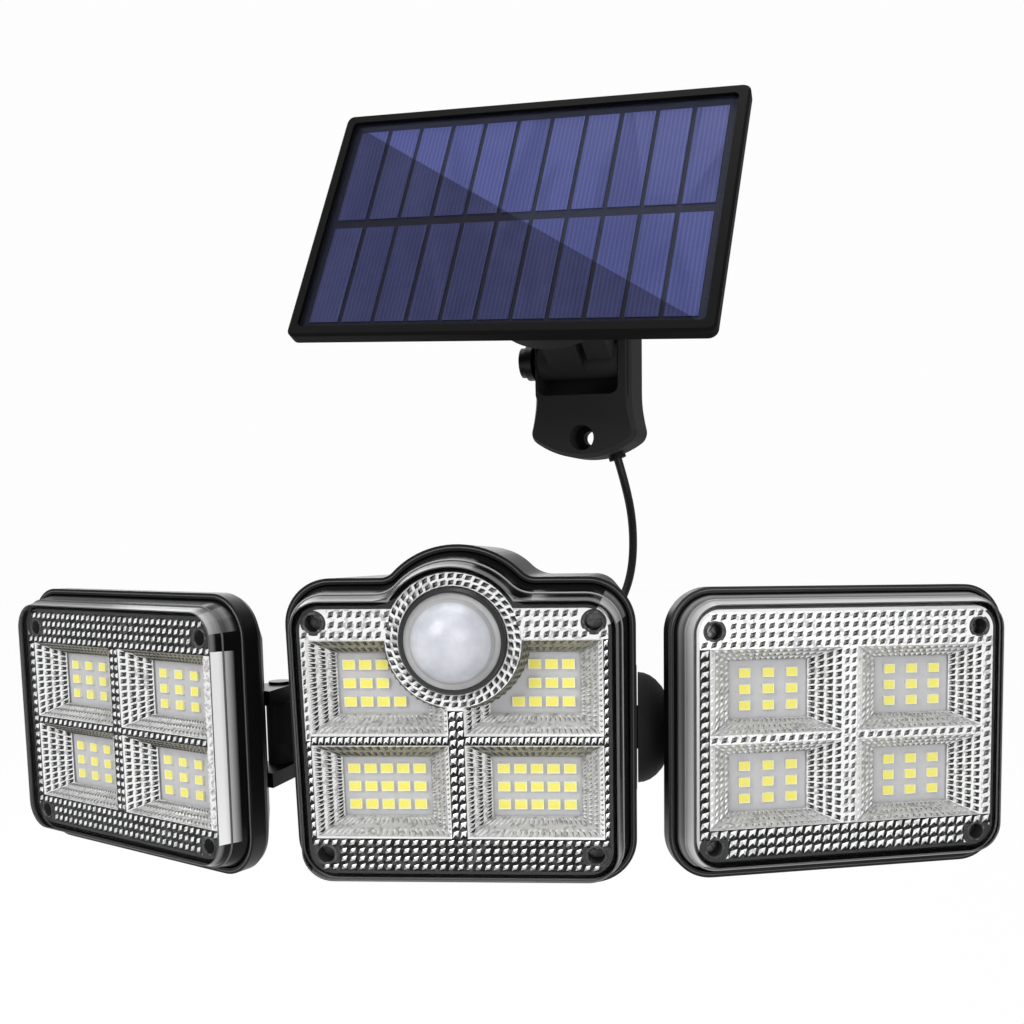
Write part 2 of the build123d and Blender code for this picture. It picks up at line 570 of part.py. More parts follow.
# ============================================================ side heads
SIDE_SEAT = SIDE_RIM + 4.0
SIDE_FOOT = SIDE_SEAT - 1.5
SIDE_FLOOR_DEPTH = SIDE_BACK - WALL
SIDE_SCREWS = corners(SIDE_SCREW)
LUG_FOOT = SIDE_BACK - HEAD_FORE - 6.0
DOME_STEPS = 5
side_windows = (SIDE_OPEN, SIDE_FLOOR, SIDE_GROUP)
for side, name in SIDES.items():
    head = HEAD[side]
    with BuildPart() as side_housing:
        full = [
            (SIDE_RIM, 0),
            (SIDE_LIP, 0),
            (SIDE_LIP + SIDE_ROUND, SIDE_ROUND / 2),
            (SIDE_BACK - SIDE_ROUND, SIDE_SLOPE - SIDE_ROUND / 2),
            (SIDE_BACK - SIDE_ROUND / 3, SIDE_SLOPE + SIDE_ROUND / 2),
            (SIDE_BACK, SIDE_SLOPE + 1.5 * SIDE_ROUND),
        ]
        stack(head, oblong, full)
        inner = [(SIDE_SEAT, SKIRT_IN + 1.9), (SIDE_FLOOR_DEPTH, SIDE_SLOPE + WALL)]
        stack(head, oblong, inner, Mode.SUBTRACT)
        slab(head, oblong(LIP), SIDE_RIM, SIDE_SEAT, Mode.SUBTRACT)
        posts = BOARD_FRONT + BOARD_THICK
        drums(facing(head, posts + 8.4), 3.4, 8.4, SIDE_SCREWS)
        drums(facing(head, posts + 7), SCREW_R + RUN, 7, SIDE_SCREWS, Mode.SUBTRACT)
        # lugs over and under the arm's barrel
        for low, high in (
            (BARREL_TOP + GAP, BARREL_TOP + GAP + LUG_THICK),
            (BARREL_LOW - GAP - LUG_THICK, BARREL_LOW - GAP),
        ):
            with BuildSketch(level(PIN[side], low)) as lug:
                with BuildLine():
                    reach = BARREL_R + 0.5
                    Line((-reach - 1.5, LUG_FOOT), (-reach, 0))
                    RadiusArc((-reach, 0), (reach, 0), reach)
                    Line((reach, 0), (reach + 5, LUG_FOOT))
                    Line((reach + 5, LUG_FOOT), (-reach - 1.5, LUG_FOOT))
                make_face()
            extrude(amount=high - low)
        full_pin = BARREL_TOP - BARREL_LOW + 2 * (GAP + LUG_THICK)
        pin_low = BARREL_LOW - GAP - LUG_THICK
        drums(level(PIN[side], pin_low), PIN_R, full_pin, mode=Mode.SUBTRACT)
    save(side_housing, f"{name}_housing")

    with BuildPart() as side_seal:
        seal_body(head, oblong, SIDE_FOOT, SIDE_SEAT)
    save(side_seal, f"{name}_seal")

    with BuildPart() as side_cover:
        cover_body(head, oblong, SIDE_FOOT)
    save(side_cover, f"{name}_cover")

    with BuildPart() as side_reflector:
        reflector_body(head, oblong, SIDE_SEAT, side_windows, SIDE_SCREWS)
    save(side_reflector, f"{name}_reflector")

    with BuildPart() as side_board:
        fitted = oblong(FRAME_IN + SKIRT_WALL + 0.3)
        slab(head, fitted, BOARD_FRONT, BOARD_FRONT + BOARD_THICK)
        drums(facing(head, 9), SCREW_R + 0.15, 3, SIDE_SCREWS, Mode.SUBTRACT)
    save(side_board, f"{name}_board")

    with BuildPart() as side_leds:
        chip_grid(head, SIDE_GROUP, SIDE_PITCH_LED, 3, 3, lambda spot: True)
    save(side_leds, f"{name}_leds")

    with BuildPart() as side_screws:
        screw_bodies(head, SIDE_SCREWS, 7.0)
    save(side_screws, f"{name}_screws")

    # ---------------------------------------------------- arm of this side
    arm_frame = ARM[side]
    with BuildPart() as arm:
        face_x = MID_HALF + GAP
        rings = []
        for step in range(DOME_STEPS + 1):
            out = DOME_CUT * step / DOME_STEPS
            ring_r = DOME_R * sqrt(1 - (out / DOME_LONG) ** 2)
            rings.append(discs(across(arm_frame, side * (face_x + out), side), ring_r))
        loft(rings, ruled=True)
        drums(across(arm_frame, side * HUB_INNER, side), SPIGOT_R, face_x - HUB_INNER)
        # neck and barrel
        with BuildSketch(level(arm_frame, NECK_LOW)):
            with BuildLine():
                hinge_y = HINGE_DEPTH - HUB_DEPTH
                start = side * (face_x + 4)
                Line((start, -7), (side * HINGE_X, hinge_y - BARREL_R))
                Line((side * HINGE_X, hinge_y - BARREL_R), (side * HINGE_X, hinge_y + BARREL_R))
                Line((side * HINGE_X, hinge_y + BARREL_R), (start, 8))
                Line((start, 8), (start, -7))
            make_face()
        extrude(amount=BARREL_TOP - NECK_LOW)
        stand = Location((side * HINGE_X, HINGE_DEPTH - HUB_DEPTH, 0))
        drums(level(arm_frame * stand, BARREL_LOW), BARREL_R, BARREL_TOP - BARREL_LOW)
        bore = PIN_R + RUN
        tall = BARREL_TOP - BARREL_LOW
        drums(level(arm_frame * stand, BARREL_LOW), bore, tall, mode=Mode.SUBTRACT)
        drums(across(arm_frame, side * HUB_INNER, side), 1.7, 14, mode=Mode.SUBTRACT)
    save(arm, f"{name}_arm")

    with BuildPart() as hub_washer:
        drums(across(arm_frame, side * (HUB_INNER - 1.4), side), 9.5, 1.4)
        drums(across(arm_frame, side * (HUB_INNER - 1.4), side), 1.75, 1.4, mode=Mode.SUBTRACT)
    save(hub_washer, f"{name}_hub_washer")

    with BuildPart() as hub_screw:
        drums(across(arm_frame, side * (HUB_INNER - 3.4), side), 3.4, 2.0)
        drums(across(arm_frame, side * (HUB_INNER - 1.4), side), 1.65, 14)
    save(hub_screw, f"{name}_hub_screw")

    with BuildPart() as hinge_pin:
        drums(level(PIN[side], pin_low), PIN_R, full_pin)
        drums(level(PIN[side], pin_low + full_pin), 3.6, 1.0)
    save(hinge_pin, f"{name}_hinge_pin")

# ============================================================ lamp bracket
PLATE_HOLES = [(0, PLATE_HOLE_Z), (0, -PLATE_HOLE_Z)]
LUG_IN = TILT_HALF + GAP
with BuildPart() as lamp_bracket:
    ground = rounded(PLATE_W / 2, PLATE_H / 2, -PLATE_H / 2, 8)
    slab(LAMP, ground, WALL_GAP - PLATE_THICK, WALL_GAP)
    drums(facing(LAMP, WALL_GAP), PLATE_HOLE_R, 6, PLATE_HOLES, Mode.SUBTRACT)
    drums(facing(LAMP, WALL_GAP - 2.2), 4.6, 4, PLATE_HOLES, Mode.SUBTRACT)
    for side in SIDES:
        with BuildSketch(across(TILT, side * LUG_IN, side)):
            Circle(TILT_R + 0.5)
            with Locations((side * 5.5, 0)):
                Rectangle(11, 2 * TILT_R + 1)
        extrude(amount=TILT_LUG)
    lug_out = LUG_IN + TILT_LUG
    drums(across(TILT, -lug_out), TILT_BOLT_R, 2 * lug_out, mode=Mode.SUBTRACT)
save(lamp_bracket, "lamp_bracket")

with BuildPart() as tilt_bolt:
    drums(across(TILT, -lug_out), TILT_BOLT_R, 2 * lug_out + 5)
    drums(across(TILT, -lug_out - 3), 4.4, 3)
    with BuildSketch(across(TILT, -lug_out - 3)):
        RegularPolygon(2.4, 6)
    extrude(amount=1.8, mode=Mode.SUBTRACT)
save(tilt_bolt, "tilt_bolt")

with BuildPart() as tilt_nut:
    with BuildSketch(across(TILT, lug_out)):
        RegularPolygon(4.7, 6)
        Circle(TILT_BOLT_R, mode=Mode.SUBTRACT)
    extrude(amount=4)
save(tilt_nut, "tilt_nut")

# ============================================================ solar panel
FRONT_LIP = 1.0
FRAME_WALL = 1.6
WINDOW_BACK = FRONT_LIP + 0.8
LAID_BACK = WINDOW_BACK + 0.3
CELL_BOARD_BACK = LAID_BACK + 1.0
AXIS_X = -PANEL_ASIDE
MIDDLE = PANEL * Location((PANEL_ASIDE, 0, 0))


def panel_shape(inset):
    """Outline of the panel, drawn in by an inset."""
    return rounded(PANEL_W / 2, PANEL_H / 2, -PANEL_H / 2, PANEL_CORNER, inset)


with BuildPart() as panel_frame:
    edge = 0.7
    walls = [(0, edge), (edge, 0), (PANEL_THICK - edge, 0), (PANEL_THICK, edge)]
    stack(MIDDLE, panel_shape, walls)
    slab(MIDDLE, panel_shape(FRAME_WALL), FRONT_LIP, PANEL_THICK, Mode.SUBTRACT)
    slab(MIDDLE, panel_shape(PANEL_BAR), 0, FRONT_LIP, Mode.SUBTRACT)
save(panel_frame, "panel_frame")

with BuildPart() as panel_window:
    slab(MIDDLE, panel_shape(FRAME_WALL + 0.1), FRONT_LIP, WINDOW_BACK)
save(panel_window, "panel_window")

with BuildPart() as solar_cells:
    wide = (CELL_FIELD[0] - (CELL_COLUMNS - 1) * CELL_SPACE) / CELL_COLUMNS
    tall = (CELL_FIELD[1] - CELL_MIDDLE) / 2
    with BuildSketch(facing(MIDDLE, LAID_BACK)):
        for row in (1, -1):
            for column in range(CELL_COLUMNS):
                x = (column - (CELL_COLUMNS - 1) / 2) * (wide + CELL_SPACE)
                with Locations((x, row * (tall + CELL_MIDDLE) / 2)):
                    Rectangle(wide, tall)
    extrude(amount=LAID_BACK - WINDOW_BACK)
save(solar_cells, "solar_cells")

with BuildPart() as cell_board:
    slab(MIDDLE, panel_shape(FRAME_WALL + 0.1), LAID_BACK, CELL_BOARD_BACK)
save(cell_board, "cell_board")

BOSS_FACE = PANEL_REACH - BOSS_BACK
TURN = [(AXIS_X, 0)]
with BuildPart() as panel_back:
    rim = FRAME_WALL + 0.1
    pan = [(CELL_BOARD_BACK, rim), (PANEL_THICK, rim), (PAN_BACK, PAN_IN)]
    stack(MIDDLE, panel_shape, pan)
    slab(MIDDLE, panel_shape(PAN_IN + 2), CELL_BOARD_BACK, PAN_BACK - 2, Mode.SUBTRACT)
    base_ring = discs(facing(MIDDLE, PAN_BACK - 1), BOSS_R + 2.0, TURN)
    top_ring = discs(facing(MIDDLE, BOSS_FACE), BOSS_R, TURN)
    loft([base_ring, top_ring], ruled=True)
    drums(facing(MIDDLE, BOSS_FACE - 2.4), BOSS_R - 2.2, 30, TURN, Mode.SUBTRACT)
    drums(facing(MIDDLE, BOSS_FACE), 4.0, 3, TURN, Mode.SUBTRACT)
    slab(MIDDLE, panel_shape(PAN_IN + 2), CELL_BOARD_BACK + 0.5, PAN_BACK - 2.5, Mode.SUBTRACT)
save(panel_back, "panel_back")

# turning disc, bar, tongue and knuckle; depths here are from the tilt axis
TURN_FRONT = BOSS_BACK - GAP
KNUCKLE_LEFT = POCKET_LEFT - GAP
KNUCKLE_LONG = KNUCKLE_LEFT + POCKET_RIGHT - GAP
BAR_TOP = KNUCKLE_R - 1.0
with BuildPart() as panel_arm:
    centre = [(0, PANEL_RISE)]
    drums(facing(PIVOT, -TURN_BACK), TURN_R, TURN_FRONT - TURN_BACK, centre)
    drums(across(PIVOT, -KNUCKLE_LEFT), KNUCKLE_R, KNUCKLE_LONG)
    with BuildSketch(across(PIVOT, BAR_SIDES[0])):
        with BuildLine():
            root = TURN_BACK + 0.5
            Polyline(
                (0, -KNUCKLE_R),
                (0, KNUCKLE_R),
                (-20, BAR_TOP),
                (-root, PANEL_RISE + 6),
                (-root, PANEL_RISE - 9),
                close=True,
            )
        make_face()
    extrude(amount=BAR_SIDES[1] - BAR_SIDES[0])
    # tapered tongue beside the bar
    with BuildSketch(across(PIVOT, TONGUE_SIDES[0])):
        with BuildLine():
            Polyline(
                (-2, 0),
                (-KNUCKLE_R - 1, TONGUE_LOW),
                (-KNUCKLE_R - 3, TONGUE_LOW),
                (-root, PANEL_RISE - 9),
                (-root, PANEL_RISE - 2),
                (-2, BAR_TOP - 1),
                close=True,
            )
        make_face()
    extrude(amount=TONGUE_SIDES[1] - TONGUE_SIDES[0])
    bolt_bore = PANEL_BOLT_R + RUN
    drums(across(PIVOT, -KNUCKLE_LEFT), bolt_bore, KNUCKLE_LONG, mode=Mode.SUBTRACT)
    drums(facing(PIVOT, -TURN_BACK + 6), 4.0 + RUN, 20, centre, Mode.SUBTRACT)
    drums(facing(PIVOT, -TURN_BACK + 14), 6.0, 14, centre, Mode.SUBTRACT)
save(panel_arm, "panel_arm")

with BuildPart() as turn_screw:
    screw_front = BOSS_FACE - 2.4
    plate_back = PANEL_REACH - TURN_BACK
    drums(facing(PANEL, plate_back), 4.0, plate_back - screw_front)
    drums(facing(PANEL, screw_front), 7.0, 2.0)
    drums(facing(PANEL, plate_back + 2 + GAP), 5.6, 2.0)
    drums(facing(PANEL, plate_back + GAP), 4.0, GAP)
save(turn_screw, "turn_screw")


def dish_outline(inset):
    """Wall plate of the panel bracket: straight waist, flared foot and head with rounded corners."""
    foot = DISH_FOOT - inset
    waist = DISH_WAIST - inset
    high = DISH_HALF - inset
    bow = FOOT_ARC - inset
    end_z = high - bow + sqrt(bow**2 - foot**2)
    with BuildSketch(Plane.XY, mode=Mode.PRIVATE) as shape:
        with BuildLine():
            for end in (1, -1):
                ThreePointArc((-foot, end * end_z), (0, end * high), (foot, end * end_z))
                for edge in (1, -1):
                    knee = (edge * waist, end * WAIST_Z)
                    bends = [(-edge * 0.25, -end), (0, -end)]
                    Spline((edge * foot, end * end_z), knee, tangents=bends)
            for edge in (1, -1):
                Line((edge * waist, WAIST_Z), (edge * waist, -WAIST_Z))
        make_face()
        tips = [v for v in shape.vertices() if abs(abs(v.X) - foot) < 0.01]
        fillet(tips, FOOT_ROUND - inset)
    return shape.sketch


WAIST_Z = 13.0
HOLE_Z = DISH_HALF - DISH_HOLE_IN
DISH_HOLES = [(0, HOLE_Z), (0, -HOLE_Z)]
LEAN = degrees(asin(GROMMET_X / FOOT_ARC))
ARC_MIDDLE = UNIT * Location((0, GROMMET_Y, FOOT_ARC - DISH_HALF), (0, -LEAN, 0))
GROMMET = ARC_MIDDLE * Location((0, 0, -FOOT_ARC))
POCKET_MID = (POCKET_RIGHT - POCKET_LEFT) / 2
PIVOT_LINE = UNIT * Location((0, PIVOT_Y, PIVOT_Z))
with BuildPart() as panel_bracket:
    stack(UNIT, dish_outline, [(0, 0), (3 - DISH_THICK, 0.6), (-DISH_THICK, 2.0)])
    stack(UNIT, dish_outline, [(0, 2.8), (2.8 - DISH_THICK, 3.2)], Mode.SUBTRACT)
    # walls round the pocket, then the pocket itself
    walls = rounded(DISH_WAIST - 1, POCKET_HIGH + 2.4, POCKET_LOW - 2.4, 3)
    slab(UNIT, walls, -DISH_THICK + 1, 0)
    pocket = rounded((POCKET_LEFT + POCKET_RIGHT) / 2, POCKET_HIGH, POCKET_LOW, 3)
    slab(UNIT * Location((POCKET_MID, 0, 0)), pocket, -DISH_THICK - 1, -2.4, Mode.SUBTRACT)
    drums(facing(UNIT, 0), 6.5, DISH_THICK - 3, DISH_HOLES)
    drums(facing(UNIT, 0), 2.4, DISH_THICK + 2, DISH_HOLES, Mode.SUBTRACT)
    drums(facing(UNIT, -5), 4.2, DISH_THICK, DISH_HOLES, Mode.SUBTRACT)
    bolt_left = -DISH_WAIST - 1
    bolt_long = DISH_WAIST - 1.2 - bolt_left
    drums(across(PIVOT_LINE, bolt_left), PANEL_BOLT_R, bolt_long, mode=Mode.SUBTRACT)
    drums(level(GROMMET, -2), 2.4, 7.5, mode=Mode.SUBTRACT)
save(panel_bracket, "panel_bracket")

with BuildPart() as panel_bolt:
    drums(across(PIVOT_LINE, -DISH_WAIST), PANEL_BOLT_R, DISH_WAIST + POCKET_RIGHT + 2.5)
    drums(across(PIVOT_LINE, -DISH_WAIST - 2.4), KNUCKLE_R, 2.4)
    drums(across(PIVOT_LINE, -DISH_WAIST - 4.6), KNUCKLE_R - 1.0, 2.2)
save(panel_bolt, "panel_bolt")

# ============================================================ cable
NOSE = -1.4
with BuildPart() as plate_grommet:
    drums(level(GROMMET, NOSE), 3.0, 1.2)
    drums(level(GROMMET, NOSE), 2.3, 6.5)
    drums(level(GROMMET, NOSE), CABLE_D / 2 + RUN, 10, mode=Mode.SUBTRACT)
save(plate_grommet, "plate_grommet")

route = [
    tuple((GROMMET * Location((0, 0, 4.2))).position),
    tuple((GROMMET * Location((0, 0, -8.0))).position),
    (48.6, 92.4 - WALL_GAP, 54.0),
    (48.0, 95.0 - WALL_GAP, 36.0),
    (42.4, 94.0 - WALL_GAP, 22.5),
    (GLAND_X, MID_BACK + 15.0 - WALL_GAP, GLAND_Z),
    (GLAND_X, MID_BACK - 2.0 - WALL_GAP, GLAND_Z),
]


def bend_radii(points):
    """Bend radius at each inner point: 0.45 of the shorter run, over tan of half the turn."""
    radii = []
    for before, here, after in zip(points, points[1:], points[2:]):
        into = Vector(*here) - Vector(*before)
        out = Vector(*after) - Vector(*here)
        half = radians(into.get_angle(out)) / 2
        radii.append(0.45 * min(into.length, out.length) / tan(half))
    return radii


RADII = bend_radii(route)
with BuildPart() as lamp_cable:
    with BuildLine() as cable_line:
        FilletPolyline(*route, radius=RADII)
    with BuildSketch(Plane(origin=route[0], z_dir=cable_line.wire() % 0)):
        Circle(CABLE_D / 2)
    sweep(path=cable_line.wire())
save(lamp_cable, "lamp_cable")
cable_length = cable_line.wire().length
print("cable bend radii", [round(r, 1) for r in RADII])
print("cable length", round(cable_length, 1), "radii over diameter", round(min(RADII) / CABLE_D, 1))
straight_tube = cable_length * pi * CABLE_D**2 / 4
print("tube volume over section times length", lamp_cable.part.volume / straight_tube)
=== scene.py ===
"""Looks of a motion sensor security light: plated reflectors, clear covers, chips, screws and panel."""

import math
from contextlib import contextmanager
from typing import NamedTuple

import bpy
from mathutils import Euler, Matrix, Vector


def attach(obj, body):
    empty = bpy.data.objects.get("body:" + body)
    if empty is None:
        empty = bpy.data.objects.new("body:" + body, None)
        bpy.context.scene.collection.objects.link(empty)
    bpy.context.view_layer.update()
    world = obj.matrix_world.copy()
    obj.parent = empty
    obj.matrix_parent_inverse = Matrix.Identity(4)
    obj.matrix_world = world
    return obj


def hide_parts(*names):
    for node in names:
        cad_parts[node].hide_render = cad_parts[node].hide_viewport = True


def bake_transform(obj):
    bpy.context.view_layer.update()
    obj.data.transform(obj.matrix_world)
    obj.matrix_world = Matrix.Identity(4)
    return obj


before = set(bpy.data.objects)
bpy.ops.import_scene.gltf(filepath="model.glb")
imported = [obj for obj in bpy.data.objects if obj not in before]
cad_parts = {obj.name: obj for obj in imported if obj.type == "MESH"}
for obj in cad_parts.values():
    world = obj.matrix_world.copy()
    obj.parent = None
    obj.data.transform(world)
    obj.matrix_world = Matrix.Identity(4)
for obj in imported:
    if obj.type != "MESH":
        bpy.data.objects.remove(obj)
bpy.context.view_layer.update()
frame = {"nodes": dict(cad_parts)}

bl_info = {
    "name": "Security Light",
    "version": (1, 0, 0),
    "blender": (4, 5, 0),
    "location": "View3D > Sidebar > Security Light",
    "description": "Dresses the packed security light with its finishes and fine pieces",
    "category": "Object",
}

MM = 0.001

# ---------------- sizes shared with the solids, in millimetres and degrees
WALL_GAP = 98.0
MID_HALF = 49.5
MID_BACK = 72.0
ARCH_R = 25.4
ARCH_Z = 28.0
ARCH_FILLET = 5.0
SIDE_HALF = 54.5
SIDE_YAW = {1: 14.9, -1: 28.3}
SIDE_PITCH = {1: -5.9, -1: -3.8}
HUB_DEPTH = 50.0
HUB_Z = -9.0
HINGE_X = MID_HALF + 18.8
HINGE_DEPTH = 52.5
HEAD_SIDE = SIDE_HALF - 17.2
HEAD_FORE = 34.5
HEAD_RISE = 0.8
COVER_FRONT = -2.0
COVER_LIP = 2.0
COVER_IN = 5.0
COVER_OUT = 2.0
LAND_IN = 7.4
FUNNEL_BACK = 6.4
BOARD_FRONT = 7.0
BAR_X = 2.2
BAR_Z = 1.3
BAR_TOP = 8.5
CHIP = (3.5, 2.8)
CHIP_TALL = 0.9
COLLAR_FRONT = 19.0
COLLAR_BACK = 20.5
BEZEL_R = 14.7
LENS_R = 11.7
UNIT_X = 34.9
UNIT_DEPTH = 93.5
UNIT_Z = 111.5
UNIT_YAW = -13.1
PANEL_TILT = -28.1
PANEL_SPIN = 2.6
PIVOT_Y = -10.8
PIVOT_Z = -2.0
PANEL_REACH = 63.1
PANEL_RISE = 6.8
PANEL_ASIDE = -5.5
CELL_HALF = (57.4, 34.4)
FOOT_ARC = 30.0
GROMMET_X = 9.5
GROMMET_Y = -5.5
UNIT_FOOT_Z = -5.0
GLAND_X = MID_HALF - 13.5
GLAND_Z = 13.0

# ---------------- sizes of the fine pieces, in millimetres, and their counts
LIFT = 0.06           # facets stand this far in front of the reflector
LAND_SLACK = 0.5      # facets may pass the flat front's outline by this much
ARCH_SLACK = 0.4
COLLAR_SLACK = 0.3
WALL_EASE = 0.1       # facets of a wall start and end this far inside it
RING_CELLS = (46, 2)
CONE_CELLS = (60, 3)
COAT = 0.04           # thickness of the faceted coat
SCREW_RING = 2.8      # facets end this far from a screw's middle
SCREW_DARK = 3.5      # painted shade in the mouth of a screw hole
SCREW_SHADE = 4.7     # painted shade round a screw in a band whose facets are painted dark
SCREW_TURN = (25, 40) # degrees that a screw is turned by its side and by its level
RING_R = 2.75
RING_WIRE = 0.42
RING_DEPTH = 0.12
SCREW_TALL = 1.8
SCREW_ROUND = 0.7
SLOT = 0.62
SLOT_DEEP = 1.6
SLOT_LONG = 1.25      # length of the cross, as a share of the head's radius
SLOT_TURNS = (20, 110)  # degrees
SHANK_R = 1.4
SHANK_LONG = 4.6
CHIP_RIM = 0.16
WINDOW_STEP = 0.08
WINDOW_DEEP = 0.1
FINGER = 1.25         # distance between two contact fingers of a cell
LENS_PETALS = 24
LENS_RINGS = 4

# ---------------- light painted on the rims, with lengths in millimetres
PANE_IN = COVER_IN + 0.3
LIT_SIDE = 11.0       # the left reflector's edge is bright this far in from its right side
LIT_SHARE = 0.75      # how much of a reflector's painted dark edge the painted light takes away
GLINT_SLOPES = (0.25, 1.9)
STRIP_HALF = 29.0     # half the height of the bright strip down the left cover's slope
STRIP_LEAN = 0.02
STRIP_OUT = 2.7
STRIP_SHINE = 2.9
STRIP_RATE = 0.75     # how fast the strip brightens inwards, per millimetre


def turned(x=0.0, y=0.0, z=0.0, about=(0, 0, 0)):
    """Frame at a place in millimetres, turned about its axes in degrees."""
    turn = Euler([math.radians(a) for a in about], "XYZ").to_matrix().to_4x4()
    return Matrix.Translation(Vector((x, y, z)) * MM) @ turn


LAMP = turned(0, -WALL_GAP, 0)
UNIT = turned(UNIT_X, UNIT_DEPTH - WALL_GAP, UNIT_Z, (0, 0, UNIT_YAW))
PIVOT = UNIT @ turned(0, PIVOT_Y, PIVOT_Z, (PANEL_TILT, 0, 0))
PANEL = PIVOT @ turned(0, -PANEL_REACH, PANEL_RISE, (0, PANEL_SPIN, 0)) @ turned(PANEL_ASIDE)


def side_frame(side):
    """Frame in the middle of a side head's reflector front."""
    arm = turned(0, HUB_DEPTH - WALL_GAP, HUB_Z, (SIDE_PITCH[side], 0, 0))
    pin = turned(side * HINGE_X, HINGE_DEPTH - HUB_DEPTH, 0, (0, 0, side * SIDE_YAW[side]))
    return arm @ pin @ turned(side * HEAD_SIDE, -HEAD_FORE, HEAD_RISE)


class Head(NamedTuple):
    """One head of the light.

    rim is the depth of the line round the housing and foot that of the cover's own edge. opened and
    floor are the mouth and the foot of a window, and group is the middle of the chips in it.
    """

    label: str
    body: str
    frame: Matrix
    half: float
    top: float
    bottom: float
    corner: float
    arched: bool
    rim: float
    foot: float
    opened: tuple
    floor: tuple
    group: tuple
    columns: int
    spacing: tuple
    screw: tuple


def side_head(label, side):
    return Head(
        label=label, body=f"{label}_head", frame=side_frame(side),
        half=SIDE_HALF, top=44.6, bottom=-42.4, corner=13.5, arched=False, rim=6.5, foot=9.0,
        opened=(41.8, 25.2), floor=(25.0, 17.5), group=(23.5, 14.0),
        columns=3, spacing=(7.5, 4.9), screw=(42.5, 31.75),
    )


MIDDLE = Head(
    label="lamp", body="lamp", frame=LAMP,
    half=MID_HALF, top=44.2, bottom=-45.2, corner=13.5, arched=True, rim=10.0, foot=12.5,
    opened=(38.5, 27.0), floor=(25.5, 17.5), group=(21.4, 15.0),
    columns=5, spacing=(4.7, 5.3), screw=(38.2, 33.0),
)
HEADS = (MIDDLE, side_head("right", 1), side_head("left", -1))
CHIP_ROWS = 3


# ---------------- settings a user would change
class SecurityLightSizes(bpy.types.PropertyGroup):
    """Sizes of the fine pieces"""

    facet_height: bpy.props.FloatProperty(
        name="Facet height", description="Height of one reflector facet",
        default=0.42 * MM, unit="LENGTH",
    )
    facet_pitch: bpy.props.FloatProperty(
        name="Facet pitch", description="Distance between two facets of the middle reflector",
        default=2.54 * MM, unit="LENGTH",
    )
    side_pitch: bpy.props.FloatProperty(
        name="Side facet pitch", description="Distance between two facets of the right reflector",
        default=2.95 * MM, unit="LENGTH",
    )
    screw_width: bpy.props.FloatProperty(
        name="Screw head", description="Width of a cover screw's head",
        default=5.9 * MM, unit="LENGTH",
    )
    cable_width: bpy.props.FloatProperty(
        name="Cable", description="Thickness of the cable",
        default=2.9 * MM, unit="LENGTH",
    )


class SecurityLightColours(bpy.types.PropertyGroup):
    """Colours of the main finishes"""

    body: bpy.props.FloatVectorProperty(
        name="Housing", description="Moulded housings and fittings",
        default=(0.0045, 0.0046, 0.005), size=3, subtype="COLOR",
    )
    plated: bpy.props.FloatVectorProperty(
        name="Plating", description="Bright coat of the reflectors",
        default=(0.93, 0.93, 0.93), size=3, subtype="COLOR",
    )
    board: bpy.props.FloatVectorProperty(
        name="LED board", description="Face of the boards that carry the chips",
        default=(0.47, 0.47, 0.485), size=3, subtype="COLOR",
    )
    phosphor: bpy.props.FloatVectorProperty(
        name="Phosphor", description="Window of one LED chip",
        default=(0.84, 0.74, 0.09), size=3, subtype="COLOR",
    )
    cell: bpy.props.FloatVectorProperty(
        name="Solar cell", description="Face of the silicon strips",
        default=(0.0125, 0.0145, 0.053), size=3, subtype="COLOR",
    )


def sizes():
    return bpy.context.scene.security_light_sizes


def colours():
    return bpy.context.scene.security_light_colours


# ---------------- shader maths
class Wire:
    """One socket of a material, with the usual arithmetic."""

    def __init__(self, tree, socket):
        self.tree = tree
        self.socket = socket

    def node(self, kind, settings=None, values=None, out=0):
        made = self.tree.nodes.new(kind)
        for key, value in (settings or {}).items():
            if key == "stops":
                ramp = made.color_ramp.elements
                while len(ramp) < len(value):
                    ramp.new(0.5)
                for stop, (place, grey) in zip(ramp, value):
                    stop.position = place
                    stop.color = (grey, grey, grey, 1)
            else:
                setattr(made, key, value)
        for key, value in (values or {}).items():
            if isinstance(value, Wire):
                self.tree.links.new(value.socket, made.inputs[key])
            else:
                made.inputs[key].default_value = value
        return Wire(self.tree, made.outputs[out])

    def maths(self, operation, *values):
        return self.node("ShaderNodeMath", {"operation": operation}, dict(enumerate(values)))

    def __add__(self, other):
        return self.maths("ADD", self, other)

    def __radd__(self, other):
        return self.maths("ADD", other, self)

    def __sub__(self, other):
        return self.maths("SUBTRACT", self, other)

    def __rsub__(self, other):
        return self.maths("SUBTRACT", other, self)

    def __mul__(self, other):
        return self.maths("MULTIPLY", self, other)

    def __rmul__(self, other):
        return self.maths("MULTIPLY", other, self)

    def __gt__(self, other):
        return self.maths("GREATER_THAN", self, other)

    def __lt__(self, other):
        return self.maths("LESS_THAN", self, other)

    def __abs__(self):
        return self.maths("ABSOLUTE", self)

    def most(self, other):
        return self.maths("MAXIMUM", self, other)

    def least(self, other):
        return self.maths("MINIMUM", self, other)

    def root(self):
        return self.maths("SQRT", self)

    def off_middle(self):
        """How far the fraction of this value is from one half."""
        return abs(self.maths("FRACT", self) - 0.5)


FINISH = {}


